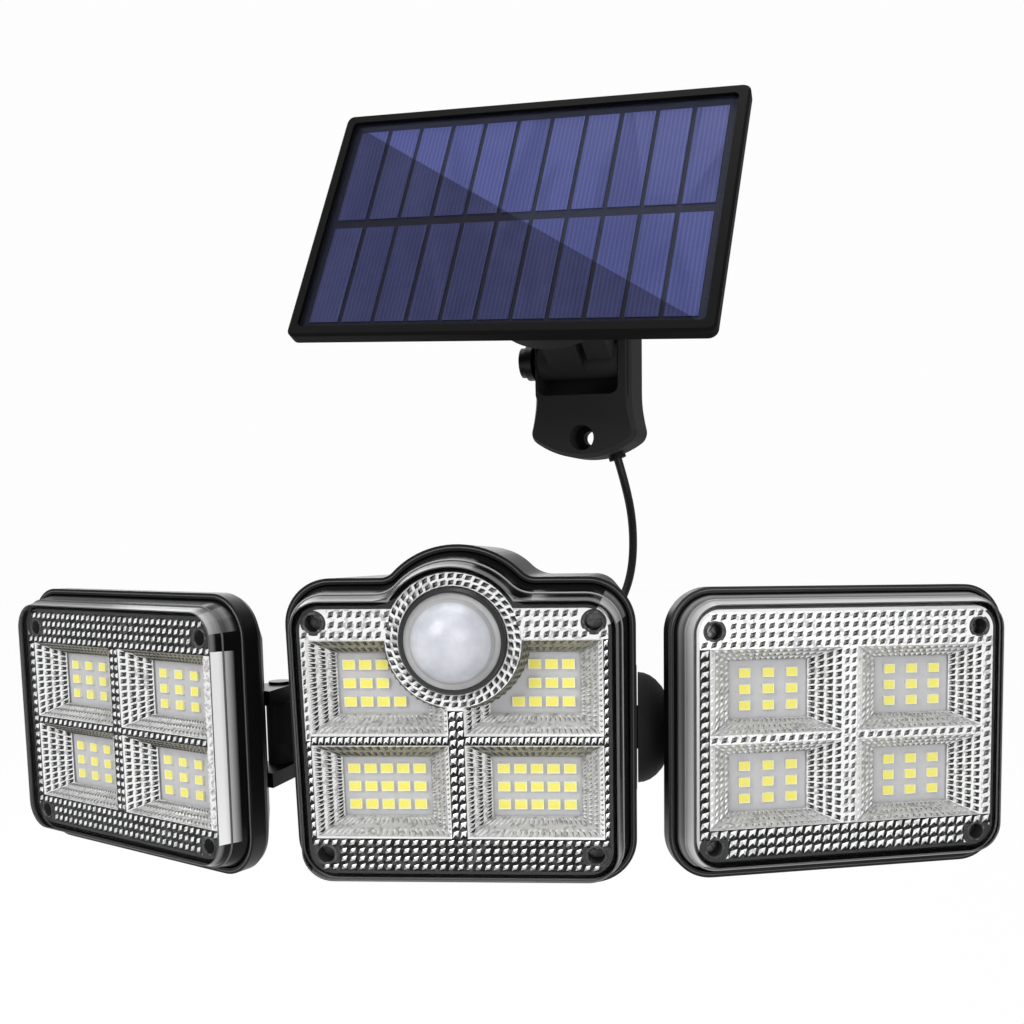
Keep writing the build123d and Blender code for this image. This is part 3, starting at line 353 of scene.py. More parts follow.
def finish_named(name, base, rough=0.5, metal=0.0, **constants):
    """Keep a new material under its name, and give its shader and its object coordinates."""
    material = bpy.data.materials.new(name)
    material.use_nodes = True
    tree = material.node_tree
    shader = tree.nodes["Principled BSDF"]
    shader.inputs["Base Color"].default_value = (*base, 1)
    shader.inputs["Roughness"].default_value = rough
    shader.inputs["Metallic"].default_value = metal
    for key, value in constants.items():
        shader.inputs[key.replace("_", " ")].default_value = value
    material.diffuse_color = (*base, 1)
    place = tree.nodes.new("ShaderNodeTexCoord")
    FINISH[name] = material
    return shader, Wire(tree, place.outputs["Object"])


def feed(shader, key, wire):
    wire.tree.links.new(wire.socket, shader.inputs[key])


def bumped(shader, height, strength, distance):
    """Bump from a height, on the shader's normal; the distance is in millimetres."""
    values = {"Strength": strength, "Distance": distance * MM, "Height": height}
    feed(shader, "Normal", height.node("ShaderNodeBump", {}, values))


def grain(place, scale, detail=3.0):
    return place.node("ShaderNodeTexNoise", {}, {"Vector": place, "Scale": scale, "Detail": detail})


def gloss(shader, place, low, more, scale):
    """Roughness that varies with a fine grain, which is given back."""
    fine = grain(place, scale)
    feed(shader, "Roughness", low + more * fine)
    return fine


def mixed(factor, first, second):
    """Colour between two, by a factor."""
    first, second = [c if isinstance(c, Wire) else (*c, 1) for c in (first, second)]
    return factor.node("ShaderNodeMix", {"data_type": "RGBA"}, {0: factor, 6: first, 7: second}, 2)


def spread(wire, low, high):
    """0 below low, 1 above high, and straight between them."""
    return wire.node("ShaderNodeMapRange", {}, {0: wire, 1: low, 2: high, 3: 0.0, 4: 1.0})


def along(place, matrix, axis):
    """Distance in metres along one axis of a frame."""
    direction = matrix.to_3x3().col[axis]
    values = {0: place, 1: tuple(direction)}
    dot = place.node("ShaderNodeVectorMath", {"operation": "DOT_PRODUCT"}, values, 1)
    return dot - matrix.to_translation().dot(direction)


def inset_of(x, z, head):
    """How far a point lies inside a head's outline, in metres."""
    over_x = abs(x) - (head.half - head.corner) * MM
    level = z - (head.top + head.bottom) / 2 * MM
    over_z = abs(level) - ((head.top - head.bottom) / 2 - head.corner) * MM
    out_x = over_x.most(0.0)
    out_z = over_z.most(0.0)
    square = out_x * out_x + out_z * out_z
    reach = square.root() + over_x.most(over_z).least(0.0) - head.corner * MM
    if head.arched:
        rise = z - ARCH_Z * MM
        reach = reach.least((x * x + rise * rise).root() - ARCH_R * MM)
    return 0.0 - reach


# ---------------- modelling helpers
@contextmanager
def editing():
    """Edit mode for the lines of a block."""
    bpy.ops.object.mode_set(mode="EDIT")
    yield
    bpy.ops.object.mode_set(mode="OBJECT")


def linked(name, data):
    """A new object in the scene."""
    piece = bpy.data.objects.new(name, data)
    bpy.context.scene.collection.objects.link(piece)
    return piece


def nothing_selected():
    bpy.ops.object.select_all(action="DESELECT")
    bpy.context.tool_settings.mesh_select_mode = (False, False, True)


def alone(piece):
    """Only this object selected and active."""
    nothing_selected()
    piece.select_set(True)
    bpy.context.view_layer.objects.active = piece


def settle(piece):
    """Put a piece's place and turn into its mesh."""
    alone(piece)
    bpy.ops.object.transform_apply(location=True, rotation=True, scale=True)


def carried(piece, matrix):
    """Move a piece's mesh by a frame."""
    piece.data.transform(matrix)
    piece.data.update()


def joined(parts, name):
    """Several pieces as one."""
    nothing_selected()
    for part in parts:
        part.select_set(True)
    bpy.context.view_layer.objects.active = parts[0]
    bpy.ops.object.join()
    parts[0].name = name
    parts[0].data.name = name
    return parts[0]


def smooth(piece, angle=60):
    alone(piece)
    bpy.ops.object.shade_smooth_by_angle(angle=math.radians(angle))


def copy_of(piece, matrix):
    """A copy with its own mesh, moved by a frame."""
    made = piece.copy()
    made.data = piece.data.copy()
    bpy.context.scene.collection.objects.link(made)
    carried(made, matrix)
    return made


def apply_all(piece):
    alone(piece)
    for modifier in list(piece.modifiers):
        bpy.ops.object.modifier_apply(modifier=modifier.name)


def drop(piece):
    bpy.data.objects.remove(piece)


def mesh_of(line, name):
    """The mesh of a curve as an object, made after the curve's own object has gone."""
    holder = linked("holder", line)
    bpy.context.view_layer.update()
    mesh = bpy.data.meshes.new_from_object(holder)
    drop(holder)
    return linked(name, mesh)


def place_piece(piece, body):
    """Let a piece ride a body."""
    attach(piece, body)


# ---------------- finishes
# Finishes whose gloss varies finely: colour, least roughness, how much the grain adds, the grain's
# scale, the specular level, and the relief as a strength and a height in millimetres.
GRAINED = {
    "frame_black": ((0.003, 0.003, 0.003), 0.42, 0.12, 2600, 0.06, (0.2, 0.05)),
    "moulded_satin": ((0.028, 0.028, 0.029), 0.52, 0.16, 2200, 0.06, (0.3, 0.08)),
    "rubber": ((0.008, 0.008, 0.008), 0.6, 0.2, 1800, 0.2, (0.3, 0.1)),
    "cable_jacket": ((0.006, 0.006, 0.006), 0.38, 0.15, 1500, 0.35, (0.2, 0.05)),
    # The rim lines' greys paint the highlights along the lips and the cover's edge.
    "painted_rim_light": ((0.26, 0.26, 0.26), 0.25, 0.2, 300, 0.5, None),
    "painted_rim_dim_light": ((0.075, 0.075, 0.075), 0.25, 0.2, 300, 0.5, None),
    "bezel_grey": ((0.02, 0.02, 0.02), 0.24, 0.14, 700, 0.5, None),
    "chip_package": ((0.85, 0.84, 0.62), 0.28, 0.2, 1500, 0.5, None),
    "cell_sleeve": ((0.03, 0.14, 0.4), 0.2, 0.1, 300, 0.5, None),
}
METALS = {"steel": (0.34, 0.24), "dark_steel": (0.03, 0.3), "screw_steel": (0.3, 0.3)}
# Lit and shaded tones of the one plating, which paint the light, shade and reflections of its facets:
# colour as shares of the plating's own, and least roughness.
LIGHT_AND_SHADE_TONES = {
    "white": ((1.0, 1.0, 1.0), 0.3),
    "light": ((0.6, 0.6, 0.6), 0.3),
    "beige": ((0.36, 0.35, 0.29), 0.35),
    "mid": ((0.2, 0.2, 0.2), 0.3),
    "shade": ((0.12, 0.115, 0.09), 0.35),
    "dark": ((0.05, 0.05, 0.05), 0.3),
    "deep": ((0.01, 0.01, 0.01), 0.3),
}
LIGHT_AND_SHADE_NAMES = tuple(LIGHT_AND_SHADE_TONES)
# Greys across a cover's rim, by the inset from the outline in centimetres: painted dark reflections
# with painted highlight lines, then the same rim on a lit side.
RIM_STOPS = ((0.0, 0.004), (0.44, 0.004), (0.47, 0.16), (0.52, 0.24), (0.56, 0.006), (1.0, 0.008))
LIT_STOPS = (
    (0.0, 0.004), (0.24, 0.01), (0.28, 0.25), (0.34, 0.10), (0.42, 0.42), (0.5, 0.55), (0.56, 0.2),
)
# Share of the light greys in the glint of each head's corner.
GLINT = {"lamp": 0.7, "right": 0.0, "left": 0.5}


def make_grained():
    """Moulded, rubber and painted finishes, and the metals; the rim lines' greys paint highlights."""
    for name, (colour, low, more, scale, level, relief) in GRAINED.items():
        shader, place = finish_named(name, colour, Specular_IOR_Level=level)
        fine = gloss(shader, place, low, more, scale)
        if relief:
            bumped(shader, fine, *relief)
    for name, (grey, rough) in METALS.items():
        shader, place = finish_named(name, (grey, grey, grey), metal=1.0)
        gloss(shader, place, rough, 0.2, 1500)


def make_housing():
    """Satin black moulding with fine grain and faint wide clouds in its gloss."""
    shader, place = finish_named("moulded_black", tuple(colours().body), Specular_IOR_Level=0.3)
    fine = grain(place, 2600)
    feed(shader, "Roughness", 0.32 + 0.12 * fine + 0.06 * grain(place, 60))
    bumped(shader, fine, 0.25, 0.06)


def make_light_and_shade_tones():
    """Painted light and shade tones of the plating, each with specks of the tone next to it as painted
    glitter.
    """
    white = tuple(colours().plated)
    for name, (share, rough) in LIGHT_AND_SHADE_TONES.items():
        shade = tuple(a * b for a, b in zip(share, white))
        bright = share[0] > 0.3
        other = tuple(0.5 * c if bright else c + 0.07 for c in shade)
        level = 0.1 + 0.4 * share[0]
        metal = 0.35 if share[0] > 0.1 else 0.0
        shader, place = finish_named(f"plated_{name}", shade, rough, metal, Specular_IOR_Level=level)
        gloss(shader, place, rough, 0.12, 700)
        # Specks of the next tone paint the glitter of the plating's reflections.
        painted_glitter = spread(grain(place, 800, 2), 0.5, 0.64)
        feed(shader, "Base Color", mixed(painted_glitter * 0.85, shade, other))


def corner_glint(x, z, head):
    """Mask of the upper right corner, where the clear rim catches the light."""
    x = x - (head.half - head.corner) * MM
    z = z - (head.top - head.corner) * MM
    return (x > 0.0) * (z > GLINT_SLOPES[0] * x) * (z < GLINT_SLOPES[1] * x)


def upper_left_half(x, z, head):
    """Mask of all that lies above the diagonal from lower left to upper right."""
    return z * head.half - x * head.top > 0.0


def make_plating(head):
    """Bright plating with painted shade on its edge under the cover's rim, in its screw holes and round
    the screws of a dark band; painted light lifts the edge on a lit side and at the corner glint.
    """
    white = tuple(colours().plated)
    shader, place = finish_named(f"{head.label}_plating", white)
    gloss(shader, place, 0.26, 0.14, 900)
    x = along(place, head.frame, 0)
    z = along(place, head.frame, 2)
    # Painted light on the plating's edge: the corner glint, and a lit side on the right and left heads.
    clear = corner_glint(x, z, head) * GLINT[head.label]
    if head.label == "right":
        clear = clear.most(LIT_SHARE * upper_left_half(x, z, head))
    if head.label == "left":
        clear = clear.most(LIT_SHARE * (x > (head.half - LIT_SIDE) * MM))
    # Painted shade on the edge under the cover's rim, where no painted light falls.
    edge = (inset_of(x, z, head) < LAND_IN * MM) * (1 - clear)
    # Painted shade in a screw hole's mouth, and round the screw where the band's facets are painted
    # dark.
    screw_x = abs(x) - head.screw[0] * MM
    screw_z = abs(z) - head.screw[1] * MM
    mouth = (SCREW_DARK * MM) ** 2
    ground = (SCREW_SHADE * MM) ** 2
    in_dark_band = z < (head.top if head.label == "left" else 0.0) * MM
    hole = screw_x * screw_x + screw_z * screw_z < mouth + in_dark_band * (ground - mouth)
    dark = hole.most(edge)
    feed(shader, "Base Color", mixed(dark, white, (0.02, 0.02, 0.021)))
    feed(shader, "Metallic", 0.35 - 0.35 * dark)


def painted_rim_light(x, z, head):
    """Share of the painted light on a cover's rim: a lit side or band, and the corner glint."""
    if head.label == "right":
        lit = upper_left_half(x, z, head)
    elif head.label == "left":
        lit = 0.3 * (z > (head.top - LAND_IN) * MM)
    else:
        lit = 0.8 * (z < (head.bottom + LAND_IN) * MM)
    return lit.most(corner_glint(x, z, head) * GLINT[head.label])


def make_cover(head):
    """Clear pane in a rim painted dark with painted highlight lines and lit on some sides, with a
    painted bright reflection strip down the left head's right slope.
    """
    shader, place = finish_named(f"{head.label}_clear", (0.02, 0.02, 0.02), Specular_IOR_Level=0.16)
    x = along(place, head.frame, 0)
    z = along(place, head.frame, 2)
    inset = inset_of(x, z, head)
    centimetres = inset * (0.1 / MM)
    # Painted reflections across the rim: dark with highlight lines, or the lit version.
    shaded_rim_paint = inset.node("ShaderNodeValToRGB", {"stops": RIM_STOPS}, {0: centimetres})
    lit_rim_paint = inset.node("ShaderNodeValToRGB", {"stops": LIT_STOPS}, {0: centimetres})
    pane = inset > PANE_IN * MM
    rim = mixed(painted_rim_light(x, z, head), shaded_rim_paint, lit_rim_paint)
    cover_reflection_paint = mixed(pane, rim, (0.2, 0.2, 0.21))
    # Painted reflection: a bright strip down the left cover's right slope, brightening inwards.
    if head.label == "left":
        slope = (x > (head.half - PANE_IN) * MM) * (inset > STRIP_OUT * MM)
        strip = slope * (abs(z + STRIP_LEAN * x) < STRIP_HALF * MM)
        shine = ((inset - STRIP_SHINE * MM) * (STRIP_RATE / MM)).least(1.0)
        cover_reflection_paint = mixed(strip * (0.12 + 0.88 * shine), cover_reflection_paint, (0.9, 0.9, 0.9))
    feed(shader, "Base Color", cover_reflection_paint)
    facing = place.node("ShaderNodeLayerWeight", {}, {"Blend": 0.2}, 1)
    feed(shader, "Alpha", 1 - pane * (0.99 - 0.2 * facing * facing))
    feed(shader, "Roughness", 0.12 + 0.1 * grain(place, 500) * (1 - pane))


def make_mottled():
    """Pale solder mask of the LED boards, and the green circuit board."""
    pale = tuple(colours().board)
    shader, place = finish_named("board_face", pale, 0.45)
    feed(shader, "Base Color", mixed(grain(place, 500), pale, tuple(c * 1.15 for c in pale)))
    shader, place = finish_named("circuit", (0.02, 0.12, 0.05), 0.35)
    feed(shader, "Base Color", mixed(grain(place, 300), (0.015, 0.1, 0.04), (0.03, 0.2, 0.08)))


def make_phosphor():
    """Yellow phosphor in a chip's window."""
    warm = tuple(colours().phosphor)
    shader, place = finish_named("phosphor", warm, 0.4, Specular_IOR_Level=0.25)
    fine = grain(place, 1300)
    feed(shader, "Base Color", mixed(fine, warm, (warm[0], warm[1] * 1.08, warm[2] * 2.4)))
    bumped(shader, fine, 0.2, 0.05)


def make_lens():
    """Milky dome with soft blotches and the faint edges of its inner lens cells."""
    shader, place = finish_named(
        "milky_lens", (0.6, 0.61, 0.65), 0.25,
        Subsurface_Weight=0.15, Subsurface_Radius=(0.002, 0.002, 0.002), Subsurface_Scale=1.0,
    )
    x = along(place, LAMP, 0)
    z = along(place, LAMP @ turned(0, 0, ARCH_Z), 2)
    petals = (x.maths("ARCTAN2", z, x) * (LENS_PETALS / 2 / math.pi)).off_middle()
    out = (x * x + z * z).root() * (1 / (LENS_R * MM))
    edge = spread(petals.most((out * LENS_RINGS).off_middle()), 0.38, 0.5)
    blotch = mixed(grain(place, 130, 2), (0.72, 0.73, 0.77), (0.36, 0.37, 0.43))
    rim = (out > 0.93) * 0.6
    feed(shader, "Base Color", mixed(rim.most(edge * 0.07), blotch, (0.36, 0.35, 0.33)))
    bumped(shader, 1 - edge, 0.15, 0.2)


def glare_triangle(x, z):
    """Mask of the panel's half above the diagonal from upper left to lower right, where a glare is
    painted.
    """
    return z + x * (CELL_HALF[1] / (CELL_HALF[0] - 2.0)) > 0.0


def make_panel_finishes():
    """Silicon strips with fine fingers and a painted glare, the backing between them with the same
    painted glare, and the glass over them.
    """
    dark_blue = tuple(colours().cell)
    shader, place = finish_named("silicon", dark_blue, Specular_IOR_Level=0.2)
    x = along(place, PANEL, 0)
    z = along(place, PANEL, 2)
    finger = (x * (1 / (FINGER * MM))).off_middle() > 0.34
    cloud = gloss(shader, place, 0.26, 0.12, 260)
    ground = mixed(cloud, dark_blue, tuple(c * 1.5 for c in dark_blue))
    lined = mixed(finger * 0.3 + 0.06, ground, (0.05, 0.055, 0.13))
    # Painted reflection: a glare over the half above the diagonal.
    glare = glare_triangle(x, z) * (0.42 + 0.2 * finger) * (0.76 - x * 0.6)
    feed(shader, "Base Color", mixed(glare, lined, (0.1, 0.12, 0.36)))

    shader, place = finish_named("panel_backing", (0.006, 0.006, 0.009), Specular_IOR_Level=0.05)
    # Painted reflection: the same glare lightens the backing.
    over = glare_triangle(along(place, PANEL, 0), along(place, PANEL, 2))
    feed(shader, "Base Color", mixed(over, (0.008, 0.008, 0.013), (0.02, 0.022, 0.034)))
    gloss(shader, place, 0.42, 0.14, 900)

    shader, place = finish_named("panel_glass", (0.2, 0.22, 0.4), 0.05, Specular_IOR_Level=0.2)
    facing = place.node("ShaderNodeLayerWeight", {}, {"Blend": 0.25}, 1)
    feed(shader, "Alpha", 0.005 + 0.05 * facing * facing)


class SECURITYLIGHT_OT_finishes(bpy.types.Operator):
    """Make every finish once"""

    bl_idname = "security_light.finishes"
    bl_label = "Finishes"

    def execute(self, context):
        make_grained()
        make_housing()
        make_light_and_shade_tones()
        for head in HEADS:
            make_plating(head)
            make_cover(head)
        make_mottled()
        make_phosphor()
        make_lens()
        make_panel_finishes()
        return {"FINISHED"}


# ---------------- stage, in metres, radians, pixels and watts
CAMERA_AT = (0.0504, -0.3626, 0.0730)
CAMERA_TURN = (0.053, 0.1683, -0.0136)
CAMERA_PIXELS = 1000.0
CAMERA_MIDDLE = (587.0, 640.3)
PHOTO = 1024.0
SENSOR = 36.0
FLOOR_SIZE = 6.0
FLOOR_Z = -0.32
FLOOR_SHOWN_WHITE = 0.965
WORLD_LIGHT = 0.42
WORLD_SHOWN = 0.985
AIM = Vector((0, 0, 0.04))
# Place, width and power of each soft lamp.
LAMPS = {
    "key": ((-0.7, -0.9, 0.75), 0.7, 11),
    "fill": ((0.6, -1.05, 0.35), 0.6, 4.6),
    "top": ((0.1, 0.1, 1.0), 0.8, 7),
    "rear": ((-0.35, 0.95, 0.5), 0.8, 5),
}


def place_camera(scene):
    azimuth, elevation, roll = CAMERA_TURN
    back = Vector((
        math.sin(azimuth) * math.cos(elevation),
        -math.cos(azimuth) * math.cos(elevation),
        math.sin(elevation),
    ))
    right = (-back).cross(Vector((0, 0, 1))).normalized()
    up = right.cross(-back)
    level_right = right * math.cos(roll) + up * math.sin(roll)
    level_up = -right * math.sin(roll) + up * math.cos(roll)
    lens = bpy.data.cameras.new("camera")
    lens.sensor_width = SENSOR
    lens.lens = CAMERA_PIXELS / PHOTO * SENSOR
    lens.shift_x = (PHOTO / 2 - CAMERA_MIDDLE[0]) / PHOTO
    lens.shift_y = (CAMERA_MIDDLE[1] - PHOTO / 2) / PHOTO
    lens.clip_start = 0.01
    camera = linked("camera", lens)
    turn = Matrix((level_right, level_up, back)).transposed().to_4x4()
    camera.matrix_world = Matrix.Translation(CAMERA_AT) @ turn
    scene.camera = camera


def place_floor(context):
    """Pale floor that the camera sees almost white, with the object's shadow."""
    nothing_selected()
    bpy.ops.mesh.primitive_plane_add(size=FLOOR_SIZE, location=(0, 0, FLOOR_Z))
    floor = context.active_object
    floor.name = "floor"
    settle(floor)
    shader, place = finish_named("pale_floor", (0.8, 0.8, 0.8))
    gloss(shader, place, 0.85, 0.1, 20)
    white = place.node("ShaderNodeEmission", {}, {"Strength": 1.0})
    seen = place.node("ShaderNodeLightPath")
    lit = Wire(place.tree, shader.outputs[0])
    blend = place.node("ShaderNodeMixShader", {}, {0: seen * FLOOR_SHOWN_WHITE, 1: lit, 2: white})
    place.tree.links.new(blend.socket, place.tree.nodes["Material Output"].inputs[0])
    floor.data.materials.append(FINISH["pale_floor"])


def make_world(scene):
    """Soft even light, which the camera sees as white."""
    world = bpy.data.worlds.new("studio")
    scene.world = world
    world.use_nodes = True
    tree = world.node_tree
    ground = tree.nodes["Background"]
    ground.inputs[0].default_value = (1, 1, 1, 1)
    ground.inputs[1].default_value = WORLD_LIGHT
    light = Wire(tree, ground.outputs[0])
    bright = light.node("ShaderNodeBackground", {}, {0: (1, 1, 1, 1), 1: WORLD_SHOWN})
    path = tree.nodes.new("ShaderNodeLightPath")
    seen = Wire(tree, path.outputs["Is Camera Ray"])
    through = Wire(tree, path.outputs["Is Transmission Ray"])
    blend = light.node("ShaderNodeMixShader", {}, {0: seen.most(through), 1: light, 2: bright})
    tree.links.new(blend.socket, tree.nodes["World Output"].inputs[0])


def place_lamps():
    for name, (at, width, power) in LAMPS.items():
        lamp = bpy.data.lights.new(name, "AREA")
        lamp.energy = power
        lamp.size = width
        piece = linked(name, lamp)
        piece.location = at
        piece.rotation_euler = (AIM - Vector(at)).to_track_quat("-Z", "Y").to_euler()


class SECURITYLIGHT_OT_stage(bpy.types.Operator):
    """Camera, floor and soft lamps"""

    bl_idname = "security_light.stage"
    bl_label = "Stage"

    def execute(self, context):
        place_camera(context.scene)
        context.scene.view_settings.view_transform = "Standard"
        place_floor(context)
        make_world(context.scene)
        place_lamps()
        return {"FINISHED"}


# ---------------- cable
def cable_route():
    """Points of the cable from inside the bracket's foot to inside the gland, in metres."""
    lean = math.degrees(math.asin(GROMMET_X / FOOT_ARC))
    grommet = UNIT @ turned(0, GROMMET_Y, UNIT_FOOT_Z, (0, -lean, 0)) @ turned(0, 0, -FOOT_ARC)
    return [
        grommet @ Vector((0, 0, 4.2 * MM)),
        grommet @ Vector((0, 0, -8.0 * MM)),
        Vector((48.6, -5.6, 54.0)) * MM,
        Vector((48.0, -3.0, 36.0)) * MM,
        Vector((42.4, -4.0, 22.5)) * MM,
        Vector((GLAND_X, MID_BACK + 15.0 - WALL_GAP, GLAND_Z)) * MM,
        Vector((GLAND_X, MID_BACK - 2.0 - WALL_GAP, GLAND_Z)) * MM,
    ]


class SECURITYLIGHT_OT_cable(bpy.types.Operator):
    """Cable from the panel bracket down to the gland behind the lamp"""

    bl_idname = "security_light.cable"
    bl_label = "Cable"

    def execute(self, context):
        route = cable_route()
        line = bpy.data.curves.new("cable_line", "CURVE")
        line.dimensions = "3D"
        spline = line.splines.new("NURBS")
        spline.points.add(len(route) - 1)
        for point, spot in zip(spline.points, route):
            point.co = (*spot, 1)
        spline.order_u = 3
        spline.use_endpoint_u = True
        spline.resolution_u = 16
        bare = mesh_of(line, "cable_line")
        drop(bare)
        line.bevel_depth = sizes().cable_width / 2
        line.bevel_resolution = 5
        line.use_fill_caps = True
        line.materials.append(FINISH["cable_jacket"])
        cable = mesh_of(line, "cable")
        smooth(cable)
        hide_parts("lamp_cable")
        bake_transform(cable)
        return {"FINISHED"}


# ---------------- solids that keep their shape
PLAIN = {
    "moulded_black": (
        "lamp_housing", "right_housing", "left_housing", "rear_door", "cable_gland", "mode_switch",
    ),
    "frame_black": ("panel_frame", "panel_back"),
    "moulded_satin": (
        "right_arm", "left_arm", "lamp_bracket", "panel_arm", "panel_bracket", "board_tray",
        "battery_cradle",
    ),
    "rubber": ("lamp_seal", "right_seal", "left_seal", "mode_button", "plate_grommet"),
    "lamp_plating": ("lamp_reflector",),
    "right_plating": ("right_reflector",),
    "left_plating": ("left_reflector",),
    "lamp_clear": ("lamp_cover",),
    "right_clear": ("right_cover",),
    "left_clear": ("left_cover",),
    "bezel_grey": ("lens_bezel",),
    "panel_glass": ("panel_window",),
    "board_face": ("lamp_board", "right_board", "left_board"),
    "panel_backing": ("cell_board",),
    "silicon": ("solar_cells",),
    "milky_lens": ("sensor_lens",),
    "circuit": ("control_board",),
    "cell_sleeve": ("battery_cells",),
    "steel": (
        "motion_sensor", "door_screws", "right_hub_washer", "left_hub_washer", "right_hub_screw",
        "left_hub_screw", "tilt_bolt", "tilt_nut",
    ),
    "dark_steel": ("right_hinge_pin", "left_hinge_pin", "panel_bolt", "turn_screw"),
}


class SECURITYLIGHT_OT_solids(bpy.types.Operator):
    """Finishes of the solids that keep their own shape"""

    bl_idname = "security_light.solids"
    bl_label = "Housings and fittings"

    def execute(self, context):
        for name, nodes in PLAIN.items():
            for node in nodes:
                materials = frame["nodes"][node].data.materials
                materials.clear()
                materials.append(FINISH[name])
        return {"FINISHED"}


# ---------------- reflector facets
# Tones of a facet's ground and of its upper, right, lower and left sides, which paint the light, shade
# and reflections of the plated facets, the share of the cell that is ground, and how far two corners of
# the facet are drawn in.
LOOKS = {
    "dark_marks": ("white", "dark", "mid", "deep", "mid", 0.13, 0.42),
    "fine_marks": ("white", "dark", "deep", "deep", "mid", 0.09, 0.35),
    "white_marks": ("deep", "white", "white", "white", "light", 0.14, 0.48),
    "bold_teeth": ("deep", "white", "white", "deep", "white", 0.07, 0.4),
    "streaks": ("white", "deep", "dark", "deep", "light", 0.1, 0.25),
    "soft_dark": ("beige", "shade", "dark", "shade", "beige", 0.1, 0.35),
    "soft_light": ("light", "white", "white", "light", "mid", 0.14, 0.4),
    "mottled": ("light", "white", "mid", "light", "white", 0.1, 0.5),
    "plain_white": ("white", "white", "light", "light", "white", 0.2, 0.4),
}
# Width and height of a facet's cell on the flat front, in pitches.
SQUARE = (1.0, 1.0)
TALL = (1.0, 1.06)
SLIM = (0.72, 1.0)
PAIRED = (0.75, 0.9)
# Look and cell of each band of a reflector's front.
LAND_LOOKS = {
    "lamp": {
        "top": ("dark_marks", TALL), "bottom": ("white_marks", SQUARE),
        "upper_left": ("dark_marks", TALL), "lower_left": ("bold_teeth", TALL),
        "right": ("bold_teeth", TALL), "upright": ("bold_teeth", TALL),
        "left_level": ("bold_teeth", SLIM), "right_level": ("bold_teeth", SLIM),
    },
    "right": {
        "top": ("dark_marks", SQUARE), "bottom": ("bold_teeth", SQUARE),
        "right": ("dark_marks", SQUARE), "left": ("bold_teeth", SQUARE),
        "upright": ("dark_marks", PAIRED),
        "left_level": ("dark_marks", SQUARE), "right_level": ("dark_marks", SQUARE),
    },
    "left": {
        "top": ("white_marks", SQUARE), "bottom": ("white_marks", SQUARE),
        "right": ("plain_white", SQUARE), "left": ("bold_teeth", SQUARE),
        "upright": ("bold_teeth", PAIRED),
        "left_level": ("white_marks", SQUARE), "right_level": ("white_marks", SQUARE),
    },
}
# Look of each wall of a window, which paints its light and shade, the width of its cells in pitches,
# and its rows towards the floor.
WALL_LOOKS = {
    "lamp": {
        "upper": ("soft_dark", 0.95, 2), "lower": ("soft_light", 0.7, 2),
        "left": ("streaks", 0.6, 3), "right": ("mottled", 0.6, 4),
    },
    "right": {
        "upper": ("soft_light", 0.9, 3), "lower": ("soft_light", 0.7, 3),
        "left": ("mottled", 0.8, 4), "right": ("streaks", 0.75, 4),
    },
    "left": {
        "upper": ("soft_dark", 0.8, 3), "lower": ("mottled", 0.7, 3),
        "left": ("streaks", 0.8, 4), "right": ("soft_light", 0.7, 3),
    },
}
LEFT_PITCH = 0.93     # pitch of the left reflector, as a share of the right one's
NEARBY = 0.01         # step along a facet's map that gives its slope


def bands_of(head):
    """Flat bands of a reflector's front, each between two x and two z."""
    half = head.half - LAND_IN
    side = BAR_X + head.opened[0]
    level = BAR_Z + head.opened[1]
    return {
        "top": (-half, half, level, head.top - LAND_IN),
        "bottom": (-half, half, head.bottom + LAND_IN, -level),
        "left": (-half, -side, -level, level),
        "upper_left": (-half, -side, 0, level),
        "lower_left": (-half, -side, -level, 0),
        "right": (side, half, -level, level),
        "upright": (-BAR_X, BAR_X, -level, BAR_TOP if head.arched else level),
        "left_level": (-side, -BAR_X, -BAR_Z, BAR_Z),
        "right_level": (BAR_X, side, -BAR_Z, BAR_Z),
    }


def inside_rounded(x, z, half, top, bottom, corner):
    """True where a point lies inside a rounded rectangle."""
    if abs(x) > half or z > top or z < bottom:
        return False
    over_x = abs(x) - (half - corner)
    over_z = max(z - (top - corner), (bottom + corner) - z)
    if over_x > 0 and over_z > 0:
        return math.hypot(over_x, over_z) <= corner
    return True


def land_of(head):
    """Test for a place on the flat front, clear of the screws and the sensor."""
    half = head.half - LAND_IN + LAND_SLACK
    top = head.top - LAND_IN + LAND_SLACK
    bottom = head.bottom + LAND_IN - LAND_SLACK

    def on_land(spot):
        if not inside_rounded(spot.x, spot.z, half, top, bottom, head.corner - LAND_IN):
            return False
        if math.hypot(abs(spot.x) - head.screw[0], abs(spot.z) - head.screw[1]) < SCREW_RING:
            return False
        return not head.arched or math.hypot(spot.x, spot.z - ARCH_Z) > ARCH_R - LAND_IN - ARCH_SLACK

    return on_land


def facet_grid(spot_of, columns, rows, keep):
    """Flat grid of the cells whose quarters all pass the test, one unit to a cell."""
    nothing_selected()
    bpy.ops.mesh.primitive_grid_add(x_subdivisions=columns, y_subdivisions=rows, size=1.0)
    patch = bpy.context.active_object
    for name in LIGHT_AND_SHADE_TONES:
        patch.data.materials.append(FINISH[f"plated_{name}"])
    patch.scale = (columns, rows, 1)
    patch.location = (columns / 2, rows / 2, 0)
    settle(patch)
    for face in patch.data.polygons:
        spots = [face.center.lerp(patch.data.vertices[v].co, 0.5) for v in face.vertices]
        face.select = not all(keep(Vector(spot_of(s.x / columns, s.y / rows))) for s in spots)
    if any(face.select for face in patch.data.polygons):
        with editing():
            bpy.ops.mesh.select_mode(type="FACE")
            bpy.ops.mesh.delete(type="FACE")
    return patch


